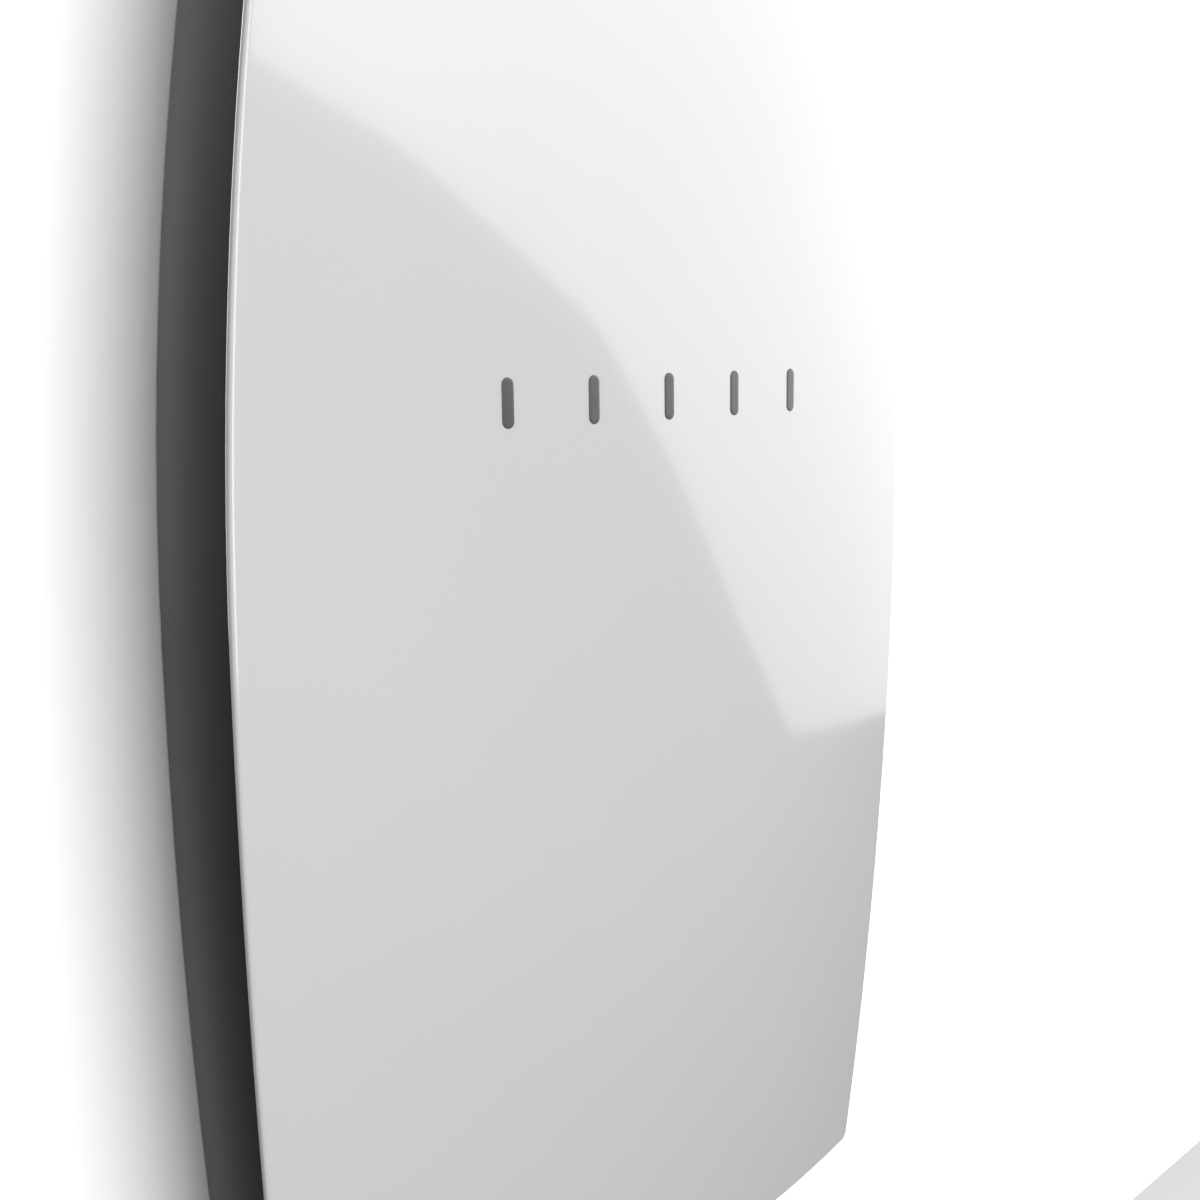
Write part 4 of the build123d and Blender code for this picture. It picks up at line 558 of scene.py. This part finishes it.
for node, widthMm in edgeBreakMm.items():
    dress(finishedCopy(node, widthMm), nodeSlot[node], nodeBody[node], node)
print("edges broken on", len(edgeBreakMm), "parts")

for node, body in nodeBody.items():
    keep = frame["nodes"][node]
    keep.data.materials.clear()
    keep.data.materials.append(finishes[nodeSlot[node]])
print("finishes on every part")

# ---- stage: wall behind, floor below
stageLook = {"wall": "#F4F4F4", "wallPatch": "#F0F0F0", "floor": "#ECECEC", "patchMm": 600.0, "nubMm": 6.0,
             "nubDepthMm": 0.05, "nubStrength": 0.3, "rough": 0.85, "shine": 0.2,
             "wallSizeM": 9.0, "floorDropM": 0.62, "wallBehindMm": 0.5}


# wall paint, rolled: matte white with a fine nub; from behind it is clear, so the unit's rear can be seen
def rolledPaint(name, colour, clearBack):
    look = stageLook
    material, tree, place = newMaterial(name)
    patch = addNode(tree, "ShaderNodeTexNoise", {"Vector": place},
                    {"Scale": 1 / (look["patchMm"] * mm)}).outputs["Fac"]
    nub = addNode(tree, "ShaderNodeTexNoise", {"Vector": place},
                  {"Scale": 1 / (look["nubMm"] * mm)}).outputs["Fac"]
    mixed = addNode(tree, "ShaderNodeMix", {0: patch},
                    {6: hexColour(colour), 7: hexColour(look["wallPatch"])}, data_type="RGBA").outputs[2]
    bump = addNode(tree, "ShaderNodeBump", {"Height": nub},
                   {"Distance": look["nubDepthMm"] * mm, "Strength": look["nubStrength"]}).outputs["Normal"]
    shader = addNode(tree, "ShaderNodeBsdfPrincipled", {"Base Color": mixed, "Normal": bump},
                     {"IOR": 1.45, "Roughness": look["rough"], "Specular IOR Level": look["shine"]})
    finished = shader.outputs["BSDF"]
    if clearBack:
        clear = addNode(tree, "ShaderNodeBsdfTransparent").outputs["BSDF"]
        back = addNode(tree, "ShaderNodeNewGeometry").outputs["Backfacing"]
        shadow = addNode(tree, "ShaderNodeLightPath").outputs["Is Shadow Ray"]
        either = addNode(tree, "ShaderNodeMath", {0: back, 1: shadow}, operation="MAXIMUM").outputs["Value"]
        finished = addNode(tree, "ShaderNodeMixShader", {0: either, 1: finished, 2: clear}).outputs["Shader"]
    addNode(tree, "ShaderNodeOutputMaterial", {"Surface": finished})
    return material


def stagePlane(name, corners, material):
    piece = newPiece(name, corners, [tuple(range(len(corners)))])
    piece.data.materials.append(material)
    return piece


far = stageLook["wallSizeM"] / 2
floorZ = coverLow.z - stageLook["floorDropM"]
wallY = stageLook["wallBehindMm"] * mm
wallCorners = [(-far, wallY, floorZ), (far, wallY, floorZ), (far, wallY, far), (-far, wallY, far)]
floorCorners = [(-far, -far, floorZ), (far, -far, floorZ), (far, far, floorZ), (-far, far, floorZ)]
wall = stagePlane("wall", wallCorners, rolledPaint("rolledWallPaint", stageLook["wall"], True))
floor = stagePlane("floor", floorCorners, rolledPaint("rolledFloorPaint", stageLook["floor"], False))
for backdrop in (wall, floor):
    backdrop.visible_diffuse = False
    backdrop.visible_glossy = False

# ---- light: each lamp says what it lights, as flags and cutters do in a studio
lightPlan = {
    "front": {"from": (-1.15, -3.0, 0.5), "size": (2.0, 2.4), "watts": 73, "on": "unit"},
    "coverEdge": {"from": (-2.6, -0.7, 0.2), "size": (1.0, 2.0), "watts": 13, "on": "cover"},
    "rightSide": {"from": (2.4, -1.4, -0.2), "size": (1.4, 2.0), "watts": 35, "on": "unit"},
    "top": {"from": (0, -0.6, 2.8), "size": (1.6, 1.0), "watts": 12, "on": "unit"},
    "rear": {"from": (0.3, 2.8, 0.7), "size": (2.6, 2.6), "watts": 60, "on": "unit"},
    "wallKey": {"from": (1.2, -2.9, 0.5), "size": (4.4, 2.6), "watts": 226, "on": "stage"},
    "wallFill": {"from": (-1.5, -3.0, 0.8), "size": (2.4, 2.4), "watts": 28, "on": "stage"},
}
# only these two show as reflections
mirroredLamps = ("front", "rear")
casing = bpy.data.objects["rear_casing.finished"]
lit = {"stage": ([wall, floor], "INCLUDE"), "unit": ([wall, floor], "EXCLUDE"),
       "cover": ([cover], "INCLUDE"), "casing": ([casing], "INCLUDE")}
receivers = {}
for name, (members, state) in lit.items():
    receivers[name] = bpy.data.collections.new("lit." + name)
    for member in members:
        receivers[name].objects.link(member)
    for entry in receivers[name].collection_objects:
        entry.light_linking.link_state = state


def panelLamp(name, place, facing, size, watts, lights, mirrored):
    data = bpy.data.lights.new(name, "AREA")
    data.shape = "RECTANGLE"
    data.size, data.size_y = size
    data.energy = watts
    lamp = bpy.data.objects.new(name, data)
    lamp.location = place
    lamp.rotation_euler = facing.to_track_quat("-Z", "Y").to_euler()
    lamp.visible_camera = False
    lamp.visible_glossy = mirrored
    lamp.light_linking.receiver_collection = receivers[lights]
    bpy.context.scene.collection.objects.link(lamp)


for name, plan in lightPlan.items():
    panelLamp(name, plan["from"], -Vector(plan["from"]), plan["size"], plan["watts"], plan["on"],
              name in mirroredLamps)

# light that creeps along the wall onto the casing's sides, brightest at the wall
glowPlan = {"offSideMm": 38.0, "offWallMm": 12.0, "wideMm": 10.0, "wattsPerM": 0.42}


def sideGlow(side, end):
    widestPoint = Vector((side * (outlineHalf(widest) + glowPlan["offSideMm"] * mm), 0, widest))
    endZ = end * halfTall
    endPoint = Vector((side * (outlineHalf(endZ) + glowPlan["offSideMm"] * mm), 0, endZ))
    run = endPoint - widestPoint
    middle = (widestPoint + endPoint) / 2
    middle.y = -glowPlan["offWallMm"] * mm
    inward = Vector((-side * abs(run.z), 0, side * run.x * copysign(1, run.z))).normalized()
    size = (glowPlan["wideMm"] * mm, run.length)
    panelLamp("sideGlow", middle, inward, size, glowPlan["wattsPerM"] * run.length, "casing", False)


for side in (-1, 1):
    for end in (-1, 1):
        sideGlow(side, end)

# softbox: its outline on a plane towards the right front, in metres across and up; brighter higher up
softbox = {"turnDegrees": 60.0, "awayM": 3.0, "strengthLow": 1.4, "strengthHigh": 4.2,
           "lowM": -0.85, "highM": 1.8,
           "outline": ((-4.1, 1.75), (-2.66, 1.15), (-1.28, 0.44), (-0.71, -0.08), (-0.3, -0.51),
                       (0.14, -0.89), (0.97, -0.85), (2.6, -0.85), (2.6, 3.6), (-4.1, 3.6))}


def shapedSoftbox():
    turn = radians(softbox["turnDegrees"])
    outward = Vector((sin(turn), -cos(turn), 0))
    across = Vector((cos(turn), sin(turn), 0))
    centre = outward * softbox["awayM"]
    corners = [tuple(centre + across * u + Vector((0, 0, v))) for u, v in softbox["outline"]]
    material, tree, place = newMaterial("softboxCloth")
    height = addNode(tree, "ShaderNodeSeparateXYZ", {"Vector": place}).outputs["Z"]
    strength = addNode(tree, "ShaderNodeMapRange", {"Value": height},
                       {"From Min": softbox["lowM"], "From Max": softbox["highM"],
                        "To Min": softbox["strengthLow"],
                        "To Max": softbox["strengthHigh"]}).outputs["Result"]
    glow = addNode(tree, "ShaderNodeEmission", {"Strength": strength})
    addNode(tree, "ShaderNodeOutputMaterial", {"Surface": glow.outputs["Emission"]})
    card = stagePlane("softbox", corners, material)
    card.visible_camera = False
    card.visible_diffuse = False
    card.visible_shadow = False


shapedSoftbox()

world = bpy.data.worlds.new("studio")
world.use_nodes = True
background = world.node_tree.nodes["Background"]
background.inputs["Color"].default_value = hexColour("#FFFFFF")
background.inputs["Strength"].default_value = 0.12
bpy.context.scene.world = world
bpy.context.scene.view_settings.view_transform = "Standard"
print("stage and light set")

# ---- camera: to the left of the unit and above its middle, looking slightly down
cameraPlan = {"placeMm": (-1016.0, -1107.0, 322.0), "turnDegrees": 45.05, "tiltDegrees": 10.27, "lens": 45.3}
cameraData = bpy.data.cameras.new("camera")
cameraData.lens = cameraPlan["lens"]
cameraData.sensor_width = 36.0
camera = bpy.data.objects.new("camera", cameraData)
camera.location = [value * mm for value in cameraPlan["placeMm"]]
camera.rotation_euler = (radians(90 - cameraPlan["tiltDegrees"]), 0, -radians(cameraPlan["turnDegrees"]))
bpy.context.scene.collection.objects.link(camera)
bpy.context.scene.camera = camera
print("camera set")
